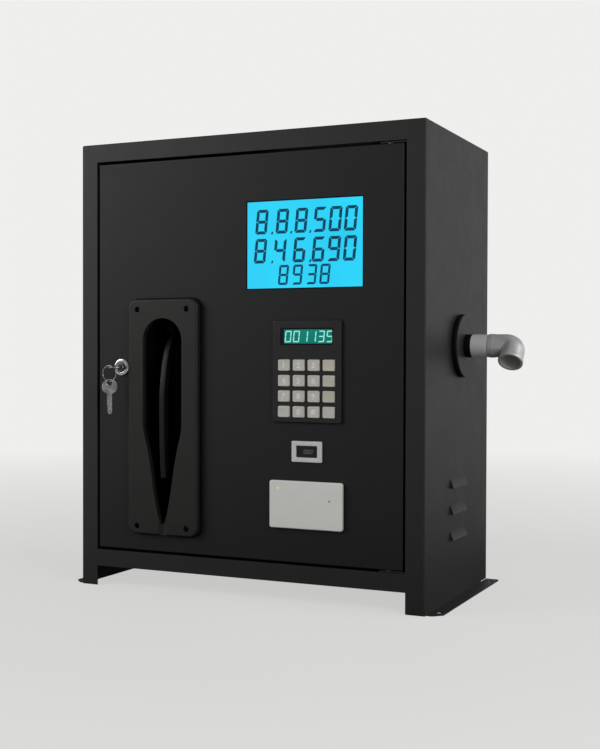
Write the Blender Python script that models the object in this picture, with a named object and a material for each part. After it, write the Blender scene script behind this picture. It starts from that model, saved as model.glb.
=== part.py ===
"""A small fuel dispenser in a sheet-steel cabinet, with a hinged front door.

The door carries the nozzle holster, the sale display, the preset keypad, the totaliser, the card
reader and the cam lock. A motor, pump, flow meter and valve stand inside, and the outlet elbow
leaves through the right side.

Lengths are in millimetres up to the moment a mesh is made. X runs across the front with 0 at the
cabinet's middle, Y runs back from 0 at the front face, and Z runs up from the feet. The empty
"cabinet_frame" then moves everything so that the world origin is the middle of the whole box's base.
"""

import math

import bmesh
import bpy
from mathutils import Matrix, Vector

MM = 0.001
GAP = 0.3  # air between two pieces that touch on the real object

# The cabinet.
WIDTH = 494.0
DEPTH = 270.0
HEIGHT = 600.0
SHEET = 1.5
HALF = WIDTH / 2
STILE_EDGE = 222.5  # inner edge of the front frame, from the middle
STILE_RETURN = 16.0  # depth of the fold round the door opening
OPENING_TOP = 575.7
OPENING_BOTTOM = 49.3
FLOOR_HEIGHT = 27.0
SEAM_Y = 243.6  # the rear cover starts behind this line
JOGGLE = 1.8  # the side sheets step in by this much under the rear cover
FOLD_START_Y = 238.0
FOLD_END_Y = 267.9
FLOOR_END_Y = 266.0
FLOOR_TAIL_HALF = 226.0  # half the width of the floor behind the stepped edges
TAIL = 20.0  # height or width of the turned ends behind the rear cover
FOOT_REACH = 19.0
FOOT_FRONT = 6.0
FOOT_BACK = 268.0
FOOT_HOLE_RADIUS = 4.5
FOOT_HOLES_Y = (26.0, 248.0)
LOUVRE_BOTTOMS = (78.0, 111.5, 145.0)

# The door.
DOOR_HALF = 219.0
DOOR_TOP = 572.0
DOOR_BOTTOM = 52.5
DOOR_RETURN = 14.0
HINGE_X = 199.0
HINGE_Y = 8.0
PIN_RADIUS = 4.0
PIN_CLEARANCE = 0.15

# The outlet through the right side.
OUTLET_Y = 143.5
OUTLET_Z = 327.6
GASKET_RADIUS = 41.2
GASKET_LIP = 2.0
FLANGE_OUT = 8.0
PIPE_RADIUS = 14.7
SHANK_RADIUS = 12.9
PIPE_BORE = 10.5
COLLAR_END = 16.4
NIPPLE_END = 38.0
SHANK_INSIDE = 38.0  # how far the nipple runs into the cabinet
ELBOW_BEAD_END = 46.0
BEND_RADIUS = 10.0
ELBOW_RADIUS = 15.0
ELBOW_BORE = 12.6
ELBOW_TURN = math.radians(42)  # the mouth points down, turned this much towards the front
MOUTH_OUT = 71.0  # from the side wall to the middle of the mouth
MOUTH_DROP = 28.5  # from the pipe's axis to the mouth
MOUTH_RADIUS = 16.0
ELBOW_REACH = MOUTH_OUT + MOUTH_RADIUS

# The nozzle holster.
HOLSTER_X = -114.2
PLATE_LEFT = -167.0
PLATE_RIGHT = -61.0
PLATE_BOTTOM = 76.0
PLATE_TOP = 388.5
PLATE_PROUD = 10.0
POCKET_RADIUS = 29.1
POCKET_CENTRE_Z = 333.5
POCKET_DEPTH = 62.0
POCKET_RAMP_Z = 170.0  # below this height the pocket's floor curves out to the plate
POCKET_TIP_Z = 91.0
POCKET_TAPER = ((98.0, 6.0), (136.0, 13.5), (163.0, 17.3), (189.0, 22.2), (213.0, 29.1))
BOOT_WALL = 2.0

# The nozzle lever.
LEVER_X = -116.0
LEVER_PIVOT = (34.0, 350.0)
LEVER_WIDTH = 8.0
LEVER_DEPTH = 12.0
LEVER_CURVE = ((34.0, 350.0), (10.0, 318.0), (-1.0, 272.0), (-2.0, 228.0), (-1.0, 190.0), (2.0, 152.0))

# The instruments on the door.
DISPLAY_X = 86.2
DISPLAY_Z = 454.8
DISPLAY_WIDTH = 160.5
DISPLAY_HEIGHT = 112.0
PANEL_X = 92.0  # keypad, totaliser and reader share this centre line
KEYPAD_BOTTOM = 230.0
KEYPAD_TOP = 358.6
KEYPAD_WIDTH = 94.3
KEYPAD_PROUD = 4.0
PRESET_Z = 338.3
PRESET_WIDTH = 72.2
PRESET_HEIGHT = 21.4
KEY_WIDTH = 16.7
KEY_HEIGHT = 15.2
KEY_PITCH_X = 20.5
KEY_PITCH_Z = 19.5
KEY_TOP_ROW_Z = 302.2
KEY_PROUD = 6.0
KEY_GAP = 0.5
COUNTER_Z = 193.7
COUNTER_WIDTH = 41.5
COUNTER_HEIGHT = 26.5
WINDOW_WIDTH = 28.8
WINDOW_HEIGHT = 14.5
READER_Z = 126.6
READER_WIDTH = 100.0
READER_HEIGHT = 60.0
READER_PROUD = 6.5
LED_OFFSET = (-38.5, 20.3)
LED_RADIUS = 1.6
SOUND_HOLE_OFFSET = (32.5, 6.5)

# The cam lock, its key, the ring and the spare key.
LOCK_X = -182.0
LOCK_Z = 298.0
LOCK_FACE_RADIUS = 11.6
BARREL_RADIUS = 9.4
PLUG_RADIUS = 5.8
BARREL_END = 17.0
CAM_LENGTH = 50.0
KEY_THICKNESS = 1.8
BOW_RADIUS = 9.75
BOW_Y = -17.6
BOW_HOLE_RADIUS = 4.0
BOW_HOLE_Y = -21.1
RING_RADIUS = 10.5
WIRE_RADIUS = 0.7
RING_X = -188.55
RING_Z = 289.75
SPARE_BOW_RADIUS = 10.2
SPARE_HOLE_RADIUS = 3.6
SPARE_HOLE_OFFSET = 5.5
SPARE_WIRE_OFFSET = 1.8  # the wire sits this far above the middle of the spare key's hole
SPARE_TURN = math.radians(55)
SPARE_BLADE_END = 235.0

# The works inside.
PUMP_Z = 104.0
MOTOR_RADIUS = 58.0
PUMP_RADIUS = 55.0
MOTOR_LEFT = -150.0
MOTOR_RIGHT = 26.0
INLET_Z = 104.0
INLET_RADIUS = 16.8
METER_BOTTOM = 284.0
METER_TOP = 372.0
GLAND_X = -190.0
GLAND_Z = 70.0
GLAND_OUT = 14.0
GLAND_NECK = 7.9

ROUND = 32
SMALL_ROUND = 24

spare_front = SPARE_BOW_RADIUS * math.cos(SPARE_TURN) + KEY_THICKNESS / 2 * math.sin(SPARE_TURN)
FRONT_REACH = spare_front - BOW_HOLE_Y
SHIFT_X = -(ELBOW_REACH - FOOT_REACH) / 2
SHIFT_Y = (FRONT_REACH - DEPTH - GLAND_OUT) / 2


def clear_scene():
    for thing in list(bpy.data.objects):
        bpy.data.objects.remove(thing)


def material(name, colour, roughness, metallic=0.0):
    made = bpy.data.materials.get(name)
    if made:
        return made
    made = bpy.data.materials.new(name)
    made.use_nodes = True
    shader = made.node_tree.nodes["Principled BSDF"]
    shader.inputs["Base Color"].default_value = (*colour, 1.0)
    shader.inputs["Roughness"].default_value = roughness
    shader.inputs["Metallic"].default_value = metallic
    return made


def cabinet_paint():
    return material("cabinet_paint", (0.035, 0.035, 0.034), 0.45)


def door_paint():
    return material("door_paint", (0.022, 0.022, 0.023), 0.5)


def black_plastic():
    return material("black_plastic", (0.02, 0.02, 0.021), 0.35)


def black_rubber():
    return material("black_rubber", (0.008, 0.008, 0.008), 0.7)


def display_blue():
    return material("display_blue", (0.05, 0.66, 1.0), 0.25)


def preset_green():
    return material("preset_green", (0.02, 0.35, 0.28), 0.25)


def key_grey():
    return material("key_grey", (0.46, 0.43, 0.38), 0.55)


def reader_grey():
    return material("reader_grey", (0.43, 0.43, 0.40), 0.5)


def led_green():
    return material("led_green", (0.15, 0.8, 0.1), 0.2)


def chrome():
    return material("chrome", (0.75, 0.75, 0.76), 0.15, 1.0)


def pipe_steel():
    return material("pipe_steel", (0.5, 0.5, 0.48), 0.35, 1.0)


def zinc():
    return material("zinc", (0.55, 0.55, 0.55), 0.4, 1.0)


def cast_alloy():
    return material("cast_alloy", (0.4, 0.41, 0.42), 0.5, 1.0)


def brass():
    return material("brass", (0.6, 0.42, 0.18), 0.35, 1.0)


def motor_paint():
    return material("motor_paint", (0.05, 0.07, 0.12), 0.45)


def board_green():
    return material("board_green", (0.02, 0.12, 0.05), 0.4)


# Outlines are closed lists of (u, v) pairs, and solids are bmesh objects in millimetres.


def rectangle(low_u, low_v, high_u, high_v):
    return [(low_u, low_v), (high_u, low_v), (high_u, high_v), (low_u, high_v)]


def centred(centre_u, centre_v, width, height):
    return rectangle(
        centre_u - width / 2, centre_v - height / 2, centre_u + width / 2, centre_v + height / 2
    )


def arc(centre_u, centre_v, radius, first, last, steps):
    turns = [first + (last - first) * step / steps for step in range(steps + 1)]
    return [(centre_u + radius * math.cos(turn), centre_v + radius * math.sin(turn)) for turn in turns]


def circle(centre_u, centre_v, radius, count=SMALL_ROUND):
    return arc(centre_u, centre_v, radius, 0, math.tau, count)[:-1]


def rounded(low_u, low_v, high_u, high_v, radius, steps=5):
    corners = (
        (high_u - radius, high_v - radius),
        (low_u + radius, high_v - radius),
        (low_u + radius, low_v + radius),
        (high_u - radius, low_v + radius),
    )
    outline = []
    for quarter, (centre_u, centre_v) in enumerate(corners):
        start = quarter * math.pi / 2
        outline += arc(centre_u, centre_v, radius, start, start + math.pi / 2, steps)
    return outline


def widened(outline, distance):
    """The outline moved outwards by a distance, for an outline that runs anticlockwise."""
    moved = []
    for index, (u, v) in enumerate(outline):
        before = Vector(outline[index - 1])
        after = Vector(outline[(index + 1) % len(outline)])
        here = Vector((u, v))
        first = (here - before).normalized()
        second = (after - here).normalized()
        normal = Vector((first.y + second.y, -first.x - second.x)).normalized()
        spread = max(normal.dot(Vector((first.y, -first.x))), 0.5)
        moved.append(tuple(here + normal * distance / spread))
    return moved


def slab(axis, low, high, outline, holes=()):
    """A flat solid: an outline with holes, drawn across the axis and stretched from low to high."""
    places = {
        "X": lambda u, v: (low, u, v),
        "Y": lambda u, v: (u, low, v),
        "Z": lambda u, v: (u, v, low),
    }
    along = {"X": Vector((1, 0, 0)), "Y": Vector((0, 1, 0)), "Z": Vector((0, 0, 1))}[axis]
    solid = bmesh.new()
    edges = []
    for loop in (outline, *holes):
        corners = [solid.verts.new(places[axis](u, v)) for u, v in loop]
        edges += [solid.edges.new((corners[i - 1], corners[i])) for i in range(len(corners))]
    bmesh.ops.triangle_fill(solid, use_beauty=True, use_dissolve=False, edges=edges)
    grown = bmesh.ops.extrude_face_region(solid, geom=solid.faces[:])
    lifted = [item for item in grown["geom"] if isinstance(item, bmesh.types.BMVert)]
    bmesh.ops.translate(solid, verts=lifted, vec=along * (high - low))
    bmesh.ops.recalc_face_normals(solid, faces=solid.faces)
    return solid


def block(low_x, low_y, low_z, high_x, high_y, high_z):
    return slab("Z", low_z, high_z, rectangle(low_x, low_y, high_x, high_y))


def lofted(rings, closed_loop=False):
    """A solid skinned over rings of equally many points, capped at both ends or closed on itself."""
    solid = bmesh.new()
    rows = [[solid.verts.new(point) for point in ring] for ring in rings]
    pairs = list(zip(rows, rows[1:]))
    if closed_loop:
        pairs.append((rows[-1], rows[0]))
    for first, second in pairs:
        for index in range(len(first)):
            after = (index + 1) % len(first)
            solid.faces.new((first[index], first[after], second[after], second[index]))
    if not closed_loop:
        solid.faces.new(rows[0])
        solid.faces.new(rows[-1])
    bmesh.ops.recalc_face_normals(solid, faces=solid.faces)
    return solid


def turned(axis, centre_u, centre_v, profile, bored=False, count=ROUND):
    """A turned solid about an axis line. The profile is a list of (place along the axis, radius).

    A bored profile runs out along the outside and back along the bore.
    """
    places = {
        "X": lambda along, u, v: (along, u, v),
        "Y": lambda along, u, v: (u, along, v),
        "Z": lambda along, u, v: (u, v, along),
    }
    rings = []
    for along, radius in profile:
        rings.append([places[axis](along, u, v) for u, v in circle(centre_u, centre_v, radius, count)])
    return lofted(rings, closed_loop=bored)


def moved(solid, matrix):
    bmesh.ops.transform(solid, matrix=matrix, verts=solid.verts)
    bmesh.ops.recalc_face_normals(solid, faces=solid.faces)
    return solid


def plain_object(name, solid):
    mesh = bpy.data.meshes.new(name)
    solid.to_mesh(mesh)
    solid.free()
    made = bpy.data.objects.new(name, mesh)
    bpy.context.scene.collection.objects.link(made)
    return made


def merged(solid, others, operation):
    """The solid with the others united to it or cut from it, by exact Booleans."""
    base = plain_object("base", solid)
    for other in others:
        tool = plain_object("tool", other)
        step = base.modifiers.new("step", "BOOLEAN")
        step.operation = operation
        step.solver = "EXACT"
        step.object = tool
        graph = bpy.context.evaluated_depsgraph_get()
        result = bpy.data.meshes.new_from_object(base.evaluated_get(graph))
        base.modifiers.remove(step)
        base.data = result
        bpy.data.objects.remove(tool)
    final = bmesh.new()
    final.from_mesh(base.data)
    bpy.data.objects.remove(base)
    return final


def united(solid, *others):
    return merged(solid, others, "UNION")


def cut(solid, *others):
    return merged(solid, others, "DIFFERENCE")


def add_part(name, solid, surface, parent, origin=(0.0, 0.0, 0.0), smooth=False):
    """Turns a solid into the named object, with its own origin, under its parent empty."""
    bmesh.ops.transform(solid, matrix=Matrix.Translation(-Vector(origin)), verts=solid.verts)
    bmesh.ops.transform(solid, matrix=Matrix.Scale(MM, 4), verts=solid.verts)
    made = plain_object(name, solid)
    made.data.materials.append(surface)
    if smooth:
        made.data.shade_smooth()
        made.data.set_sharp_from_angle(angle=math.radians(35))
    made.parent = parent
    made.location = (Vector(origin) - Vector(parent["place"])) * MM
    return made


def add_empty(name, place, parent=None):
    """An empty that a group of parts hangs from, at a place given in the cabinet's own frame."""
    made = bpy.data.objects.new(name, None)
    bpy.context.scene.collection.objects.link(made)
    made["place"] = place
    if parent:
        made.parent = parent
        made.location = (Vector(place) - Vector(parent["place"])) * MM
    return made


# The cabinet's sheet metal.


def louvre_hood(bottom):
    """One pressed hood on the right side, open below, and the hollow that is cut from it."""
    reach, height, wall = 4.7, 12.5, 1.3
    front, back = 101.0, 162.0
    top = bottom + height
    hood = [(HALF - wall, bottom), (HALF + reach, bottom), (HALF, top), (HALF - wall, top)]
    inside, outside = HALF - 2 * SHEET, HALF + 0.2
    lip, crown = bottom + 0.8, top - 4.0
    below = bottom - 1.0
    hollow = [
        (inside, lip),
        (outside, lip),
        (outside, below),
        (HALF + reach - wall, below),
        (outside, crown),
        (inside, crown),
    ]
    solids = []
    for outline, inset in ((hood, 0.0), (hollow, wall)):
        rings = [[(x, y, z) for x, z in outline] for y in (front + inset, back - inset)]
        solids.append(lofted(rings))
    return solids


def side_panel(with_outlet):
    """The right side sheet: wall, front stile and its fold, foot flange, stepped rear edge."""
    fold_x = HALF - SHEET - JOGGLE
    holes = [circle(OUTLET_Y, OUTLET_Z, PIPE_RADIUS)] if with_outlet else []
    wall = slab("X", HALF - SHEET, HALF, rectangle(0, 0, SEAM_Y, HEIGHT), holes)
    stile = block(STILE_EDGE, 0, 0, HALF - 0.5, SHEET, HEIGHT)
    fold = block(STILE_EDGE, 0.5, 0, STILE_EDGE + SHEET, STILE_RETURN, HEIGHT - SHEET - GAP)
    outer = HALF + FOOT_REACH
    corner = 11.0
    inside_wall = HALF - 1.0
    foot_outline = [
        (inside_wall, FOOT_FRONT),
        (outer - corner, FOOT_FRONT),
        (outer, FOOT_FRONT + corner),
        (outer, FOOT_BACK),
        (HALF + GAP, FOOT_BACK),
        (HALF + GAP, SEAM_Y - 1.0),
        (inside_wall, SEAM_Y - 1.0),
    ]
    hole_x = HALF + FOOT_REACH / 2 + 1.0
    bolt_holes = [circle(hole_x, y, FOOT_HOLE_RADIUS) for y in FOOT_HOLES_Y]
    foot = slab("Z", 0, SHEET, foot_outline, bolt_holes)
    step = block(fold_x, FOLD_START_Y, 0, inside_wall, SEAM_Y, HEIGHT - SHEET - GAP)
    strip_top = HEIGHT - JOGGLE - SHEET - 2 * GAP
    strip = block(fold_x, FOLD_START_Y, 0, fold_x + SHEET, FOLD_END_Y, strip_top)
    tail = block(HALF - TAIL, FOLD_END_Y - SHEET, 0, fold_x + SHEET, FOLD_END_Y, strip_top)
    panel = united(wall, stile, fold, foot, step, strip, tail)
    for bottom in LOUVRE_BOTTOMS:
        hood, hollow = louvre_hood(bottom)
        panel = united(panel, hood)
        panel = cut(panel, hollow)
    return panel


def top_panel():
    inner = HALF - SHEET - GAP
    frame_end = STILE_EDGE - GAP
    step_y = SHEET + GAP
    outline = [
        (-frame_end, 0),
        (frame_end, 0),
        (frame_end, step_y),
        (inner, step_y),
        (inner, SEAM_Y),
        (-inner, SEAM_Y),
        (-inner, step_y),
        (-frame_end, step_y),
    ]
    roof = slab("Z", HEIGHT - SHEET, HEIGHT, outline)
    rail = block(-frame_end, 0, OPENING_TOP, frame_end, SHEET, HEIGHT - 0.5)
    fold = block(-frame_end, 0.5, OPENING_TOP, frame_end, STILE_RETURN, OPENING_TOP + SHEET)
    under = HEIGHT - SHEET - JOGGLE
    half = 240.0
    step = block(-half, FOLD_START_Y, under, half, SEAM_Y, HEIGHT - 0.5)
    strip = block(-half, FOLD_START_Y, under, half, FOLD_END_Y, under + SHEET)
    tail_half = FLOOR_TAIL_HALF
    tail = block(-tail_half, FOLD_END_Y - SHEET, HEIGHT - TAIL, tail_half, FOLD_END_Y, under + SHEET)
    return united(roof, rail, fold, step, strip, tail)


def floor_tray():
    frame_end = STILE_EDGE - GAP
    inner = HALF - SHEET - GAP
    outline = [
        (-frame_end, 0),
        (frame_end, 0),
        (frame_end, STILE_RETURN + GAP),
        (inner, STILE_RETURN + GAP),
        (inner, FOLD_START_Y - GAP),
        (FLOOR_TAIL_HALF, FOLD_START_Y - GAP),
        (FLOOR_TAIL_HALF, FLOOR_END_Y),
        (-FLOOR_TAIL_HALF, FLOOR_END_Y),
        (-FLOOR_TAIL_HALF, FOLD_START_Y - GAP),
        (-inner, FOLD_START_Y - GAP),
        (-inner, STILE_RETURN + GAP),
        (-frame_end, STILE_RETURN + GAP),
    ]
    pan = slab("Z", FLOOR_HEIGHT, FLOOR_HEIGHT + SHEET, outline)
    rail = block(-frame_end, 0, FLOOR_HEIGHT + 0.5, frame_end, SHEET, OPENING_BOTTOM)
    fold = block(-frame_end, 0.5, OPENING_BOTTOM - SHEET, frame_end, STILE_RETURN, OPENING_BOTTOM)
    rear_top = FLOOR_HEIGHT + 18.0
    rear_y = FLOOR_END_Y - SHEET
    rear = block(-FLOOR_TAIL_HALF, rear_y, FLOOR_HEIGHT + 0.5, FLOOR_TAIL_HALF, FLOOR_END_Y, rear_top)
    return united(pan, rail, fold, rear)


def back_panel():
    """The rear cover: a pan whose three flanges lie flush with the sides and the top."""
    foot = 2.0
    outline = [
        (-HALF, foot),
        (-STILE_EDGE, foot),
        (-STILE_EDGE, FLOOR_HEIGHT),
        (STILE_EDGE, FLOOR_HEIGHT),
        (STILE_EDGE, foot),
        (HALF, foot),
        (HALF, HEIGHT),
        (-HALF, HEIGHT),
    ]
    holes = [circle(GLAND_X, GLAND_Z, GLAND_NECK + 0.4), circle(PANEL_X, INLET_Z, INLET_RADIUS + 0.7)]
    vent_half, vent_low, vent_high = 2.5, 500.0, 560.0
    holes += [rounded(x - vent_half, vent_low, x + vent_half, vent_high, 2.4, 3) for x in range(-75, 90, 15)]
    wall = slab("Y", DEPTH - SHEET, DEPTH, outline, holes)
    start = SEAM_Y + 0.6
    right = block(HALF - SHEET, start, foot, HALF, DEPTH - 0.5, HEIGHT)
    left = block(-HALF, start, foot, -HALF + SHEET, DEPTH - 0.5, HEIGHT)
    roof = block(-HALF + 0.5, start, HEIGHT - SHEET, HALF - 0.5, DEPTH - 0.5, HEIGHT)
    return united(wall, right, left, roof)


def hinge_bracket(upper):
    """A bent bracket behind the frame that holds one pivot pin of the door."""
    start_x, end_x = 188.0, STILE_EDGE - 0.6
    plate = 2.0
    leaf_y, web_y, tab_end = 2.5, 24.0, 44.0
    low = 573.1 if upper else 49.7
    high = low + plate
    hole = circle(HINGE_X, HINGE_Y, PIN_RADIUS + PIN_CLEARANCE)
    leaf = slab("Z", low, high, rectangle(start_x, leaf_y, end_x, web_y + plate), [hole])
    if upper:
        top = HEIGHT - SHEET - GAP
        web = block(start_x, web_y, low + 0.5, end_x, web_y + plate, top)
        tab = block(start_x, web_y + 0.5, top - plate, end_x, tab_end, top)
    else:
        base = FLOOR_HEIGHT + SHEET + GAP
        web = block(start_x, web_y, base, end_x, web_y + plate, high - 0.5)
        tab = block(start_x, web_y + 0.5, base, end_x, tab_end, base + plate)
    return united(leaf, web, tab)


def make_cabinet(frame):
    paint = cabinet_paint()
    right = side_panel(with_outlet=True)
    left = moved(side_panel(with_outlet=False), Matrix.Scale(-1, 4, Vector((1, 0, 0))))
    add_part("side_panel_right", right, paint, frame)
    add_part("side_panel_left", left, paint, frame)
    add_part("top_panel", top_panel(), paint, frame)
    add_part("floor_tray", floor_tray(), paint, frame)
    add_part("back_panel", back_panel(), paint, frame)
    add_part("hinge_bracket_upper", hinge_bracket(upper=True), paint, frame)
    add_part("hinge_bracket_lower", hinge_bracket(upper=False), paint, frame)


# The outlet.


def elbow_rings():
    """Rings along the elbow: outside from the bead to the mouth, then back along the bore."""
    side = Vector((1, 0, 0))
    drop = Vector((0, -math.sin(ELBOW_TURN), -math.cos(ELBOW_TURN)))
    across = side.cross(drop)
    start = Vector((HALF, OUTLET_Y, OUTLET_Z))
    steps = 8
    tightest = 1.0  # radius of the bend's inner corner

    def ring(radius, place):
        """A ring of skin points. place turns a point's rise above the axis into (out, down)."""
        points = []
        for index in range(ROUND):
            turn = math.tau * index / ROUND
            out, down = place(radius * math.cos(turn))
            points.append(start + side * out + drop * down + across * radius * math.sin(turn))
        return points

    def socket(distance):
        return lambda rise: (distance, -rise)

    def tail(distance):
        return lambda rise: (MOUTH_OUT + rise, distance)

    def bend(step):
        angle = math.pi / 2 * step / steps

        def place(rise):
            reach = max(BEND_RADIUS + rise, tightest)
            out = MOUTH_OUT + rise - reach + reach * math.sin(angle)
            return out, reach - rise - reach * math.cos(angle)

        return place

    bead_start = NIPPLE_END + GAP
    bead_radius = ELBOW_RADIUS + 1.0
    rings = [
        ring(bead_radius - 0.8, socket(bead_start)),
        ring(bead_radius, socket(bead_start + 1.0)),
        ring(bead_radius, socket(ELBOW_BEAD_END - 1.5)),
        ring(ELBOW_RADIUS, socket(ELBOW_BEAD_END - 0.5)),
    ]
    rings += [ring(ELBOW_RADIUS, bend(step)) for step in range(steps + 1)]
    rings += [
        ring(ELBOW_RADIUS, tail(MOUTH_DROP - 6.0)),
        ring(MOUTH_RADIUS, tail(MOUTH_DROP - 5.0)),
        ring(MOUTH_RADIUS, tail(MOUTH_DROP - 0.6)),
        ring(MOUTH_RADIUS - 0.6, tail(MOUTH_DROP)),
        ring(ELBOW_BORE, tail(MOUTH_DROP)),
    ]
    rings += [ring(ELBOW_BORE, bend(step)) for step in range(steps, -1, -1)]
    rings.append(ring(ELBOW_BORE, socket(bead_start)))
    return rings


def make_outlet(frame):
    at = (OUTLET_Y, OUTLET_Z)
    gasket = [
        (HALF + GAP, GASKET_RADIUS),
        (HALF + FLANGE_OUT - 0.5, GASKET_RADIUS),
        (HALF + FLANGE_OUT, GASKET_RADIUS - 0.5),
        (HALF + FLANGE_OUT, GASKET_RADIUS - GASKET_LIP),
        (HALF + GAP + GASKET_LIP, GASKET_RADIUS - GASKET_LIP),
        (HALF + GAP + GASKET_LIP, PIPE_RADIUS),
        (HALF + GAP, PIPE_RADIUS),
    ]
    add_part("outlet_gasket", turned("X", *at, gasket, bored=True), black_rubber(), frame, smooth=True)
    back = HALF + 2 * GAP + GASKET_LIP
    rim = GASKET_RADIUS - GASKET_LIP - GAP
    flange = [
        (back, rim),
        (HALF + FLANGE_OUT - 0.8, rim),
        (HALF + FLANGE_OUT, rim - 0.8),
        (HALF + FLANGE_OUT, SHANK_RADIUS + GAP),
        (back, SHANK_RADIUS + GAP),
    ]
    add_part("outlet_flange", turned("X", *at, flange, bored=True), cabinet_paint(), frame, smooth=True)
    collar = [
        (HALF + FLANGE_OUT + GAP, PIPE_RADIUS + 0.4),
        (HALF + COLLAR_END, PIPE_RADIUS + 0.4),
        (HALF + COLLAR_END, SHANK_RADIUS + GAP),
        (HALF + FLANGE_OUT + GAP, SHANK_RADIUS + GAP),
    ]
    add_part("outlet_collar", turned("X", *at, collar, bored=True), black_rubber(), frame, smooth=True)
    shank_start = HALF - SHANK_INSIDE
    nipple = [
        (shank_start, SHANK_RADIUS),
        (HALF + COLLAR_END + GAP, SHANK_RADIUS),
        (HALF + COLLAR_END + GAP, PIPE_RADIUS),
        (HALF + NIPPLE_END, PIPE_RADIUS),
        (HALF + NIPPLE_END, PIPE_BORE),
        (shank_start, PIPE_BORE),
    ]
    add_part("outlet_nipple", turned("X", *at, nipple, bored=True), pipe_steel(), frame, smooth=True)
    add_part("outlet_elbow", lofted(elbow_rings(), closed_loop=True), pipe_steel(), frame, smooth=True)


# The works inside the cabinet.


def make_motor(frame):
    """The motor with its terminal box, and the cradle that it is bolted to."""
    axis = (OUTLET_Y, PUMP_Z)
    collar = MOTOR_RADIUS + 3
    motor = turned("X", *axis, [
        (MOTOR_LEFT, 40.0),
        (MOTOR_LEFT + 8, MOTOR_RADIUS - 4),
        (MOTOR_LEFT + 30, MOTOR_RADIUS),
        (MOTOR_RIGHT - 20, MOTOR_RADIUS),
        (MOTOR_RIGHT - 6, collar),
        (MOTOR_RIGHT, collar),
    ])
    box_low, box_high = (-105.0, 118.0, PUMP_Z + 50), (-35.0, 169.0, PUMP_Z + 86)
    add_part("pump_motor", united(motor, block(*box_low, *box_high)), motor_paint(), frame, smooth=True)

    base = FLOOR_HEIGHT + SHEET + GAP
    spread = math.radians(38)
    down = -math.pi / 2
    half_length, half_width = 65.0, 60.0
    saddle_half, saddle_width = 50.0, 8.0
    saddle = arc(OUTLET_Y, PUMP_Z, MOTOR_RADIUS + 0.5, down + spread, down - spread, 10)
    saddle = [(OUTLET_Y - saddle_half, base + 0.5), (OUTLET_Y + saddle_half, base + 0.5)] + saddle
    plate = block(-2 * half_length, OUTLET_Y - half_width, base, 0, OUTLET_Y + half_width, base + 3)
    saddles = [slab("X", x, x + saddle_width, saddle) for x in (-112.0, -20.0)]
    add_part("motor_cradle", united(plate, *saddles), zinc(), frame)


def make_pump(frame):
    """The pump head with its two ports, and the pipes to and from it."""
    left = MOTOR_RIGHT + GAP
    shoulder = PUMP_RADIUS - 10
    head = turned("X", OUTLET_Y, PUMP_Z, [
        (left, PUMP_RADIUS),
        (left + 60, PUMP_RADIUS),
        (left + 72, shoulder),
        (left + 100, shoulder),
        (left + 106, shoulder - 8),
    ])
    port_start = 30.0
    top_port_end, rear_port_end = PUMP_Z + 70, OUTLET_Y + 66
    top_port = [(PUMP_Z + port_start, 17), (top_port_end, 17)]
    rear_port = [(OUTLET_Y + port_start, 19), (rear_port_end, 19)]
    ports = [
        turned("Z", PANEL_X, OUTLET_Y, top_port, count=SMALL_ROUND),
        turned("Y", PANEL_X, INLET_Z, rear_port, count=SMALL_ROUND),
    ]
    add_part("pump_head", united(head, *ports), cast_alloy(), frame, smooth=True)

    pipe, bore, flange = 15.0, 12.5, 22.0
    start, cover, end = rear_port_end + GAP, DEPTH - SHEET - GAP, DEPTH + 10
    inlet = [
        (start, pipe),
        (DEPTH - 30, pipe),
        (DEPTH - 30, flange),
        (cover, flange),
        (cover, INLET_RADIUS),
        (end, INLET_RADIUS),
        (end, bore),
        (start, bore),
    ]
    add_part("suction_pipe", turned("Y", PANEL_X, INLET_Z, inlet, bored=True), pipe_steel(), frame, smooth=True)

    pipe, bore, union = 12.0, 9.5, 16.0
    start, union_start, end = top_port_end + GAP, 262.0, METER_BOTTOM
    rise = [(start, pipe), (union_start, pipe), (union_start, union), (end, union), (end, bore), (start, bore)]
    solid = turned("Z", PANEL_X, OUTLET_Y, rise, bored=True, count=SMALL_ROUND)
    add_part("delivery_pipe", solid, pipe_steel(), frame, smooth=True)


def make_meter_and_valve(frame):
    """The flow meter over the pump, and the valve between it and the outlet."""
    body = slab("Y", 100, 186, rounded(52, METER_BOTTOM + GAP, 134, METER_TOP, 12))
    cap = turned("Y", 93, (METER_BOTTOM + METER_TOP) / 2, [(84, 34), (90, 38), (100.5, 38)])
    port_end = 150.0
    port = turned("X", OUTLET_Y, OUTLET_Z, [(130, 15), (port_end, 15)], count=SMALL_ROUND)
    add_part("flow_meter", united(body, cap, port), cast_alloy(), frame, smooth=True)

    start, end = port_end + GAP, HALF - SHANK_INSIDE - GAP
    union, neck = 19.0, 15.0
    valve = turned("X", OUTLET_Y, OUTLET_Z, [
        (start, union),
        (start + 11.7, union),
        (start + 15.7, neck),
        (end - 14, neck),
        (end - 10, union),
        (end, union),
    ])
    stem, coil_radius = 13.0, 21.0
    coil_low, coil_high = 352.0, 392.0
    coil = [(OUTLET_Z + 6, stem), (coil_low, stem), (coil_low, coil_radius), (coil_high, coil_radius)]
    coil.append((coil_high + 4, coil_radius - 4))
    add_part("solenoid_valve", united(valve, turned("Z", 180, OUTLET_Y, coil)), brass(), frame, smooth=True)


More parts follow.
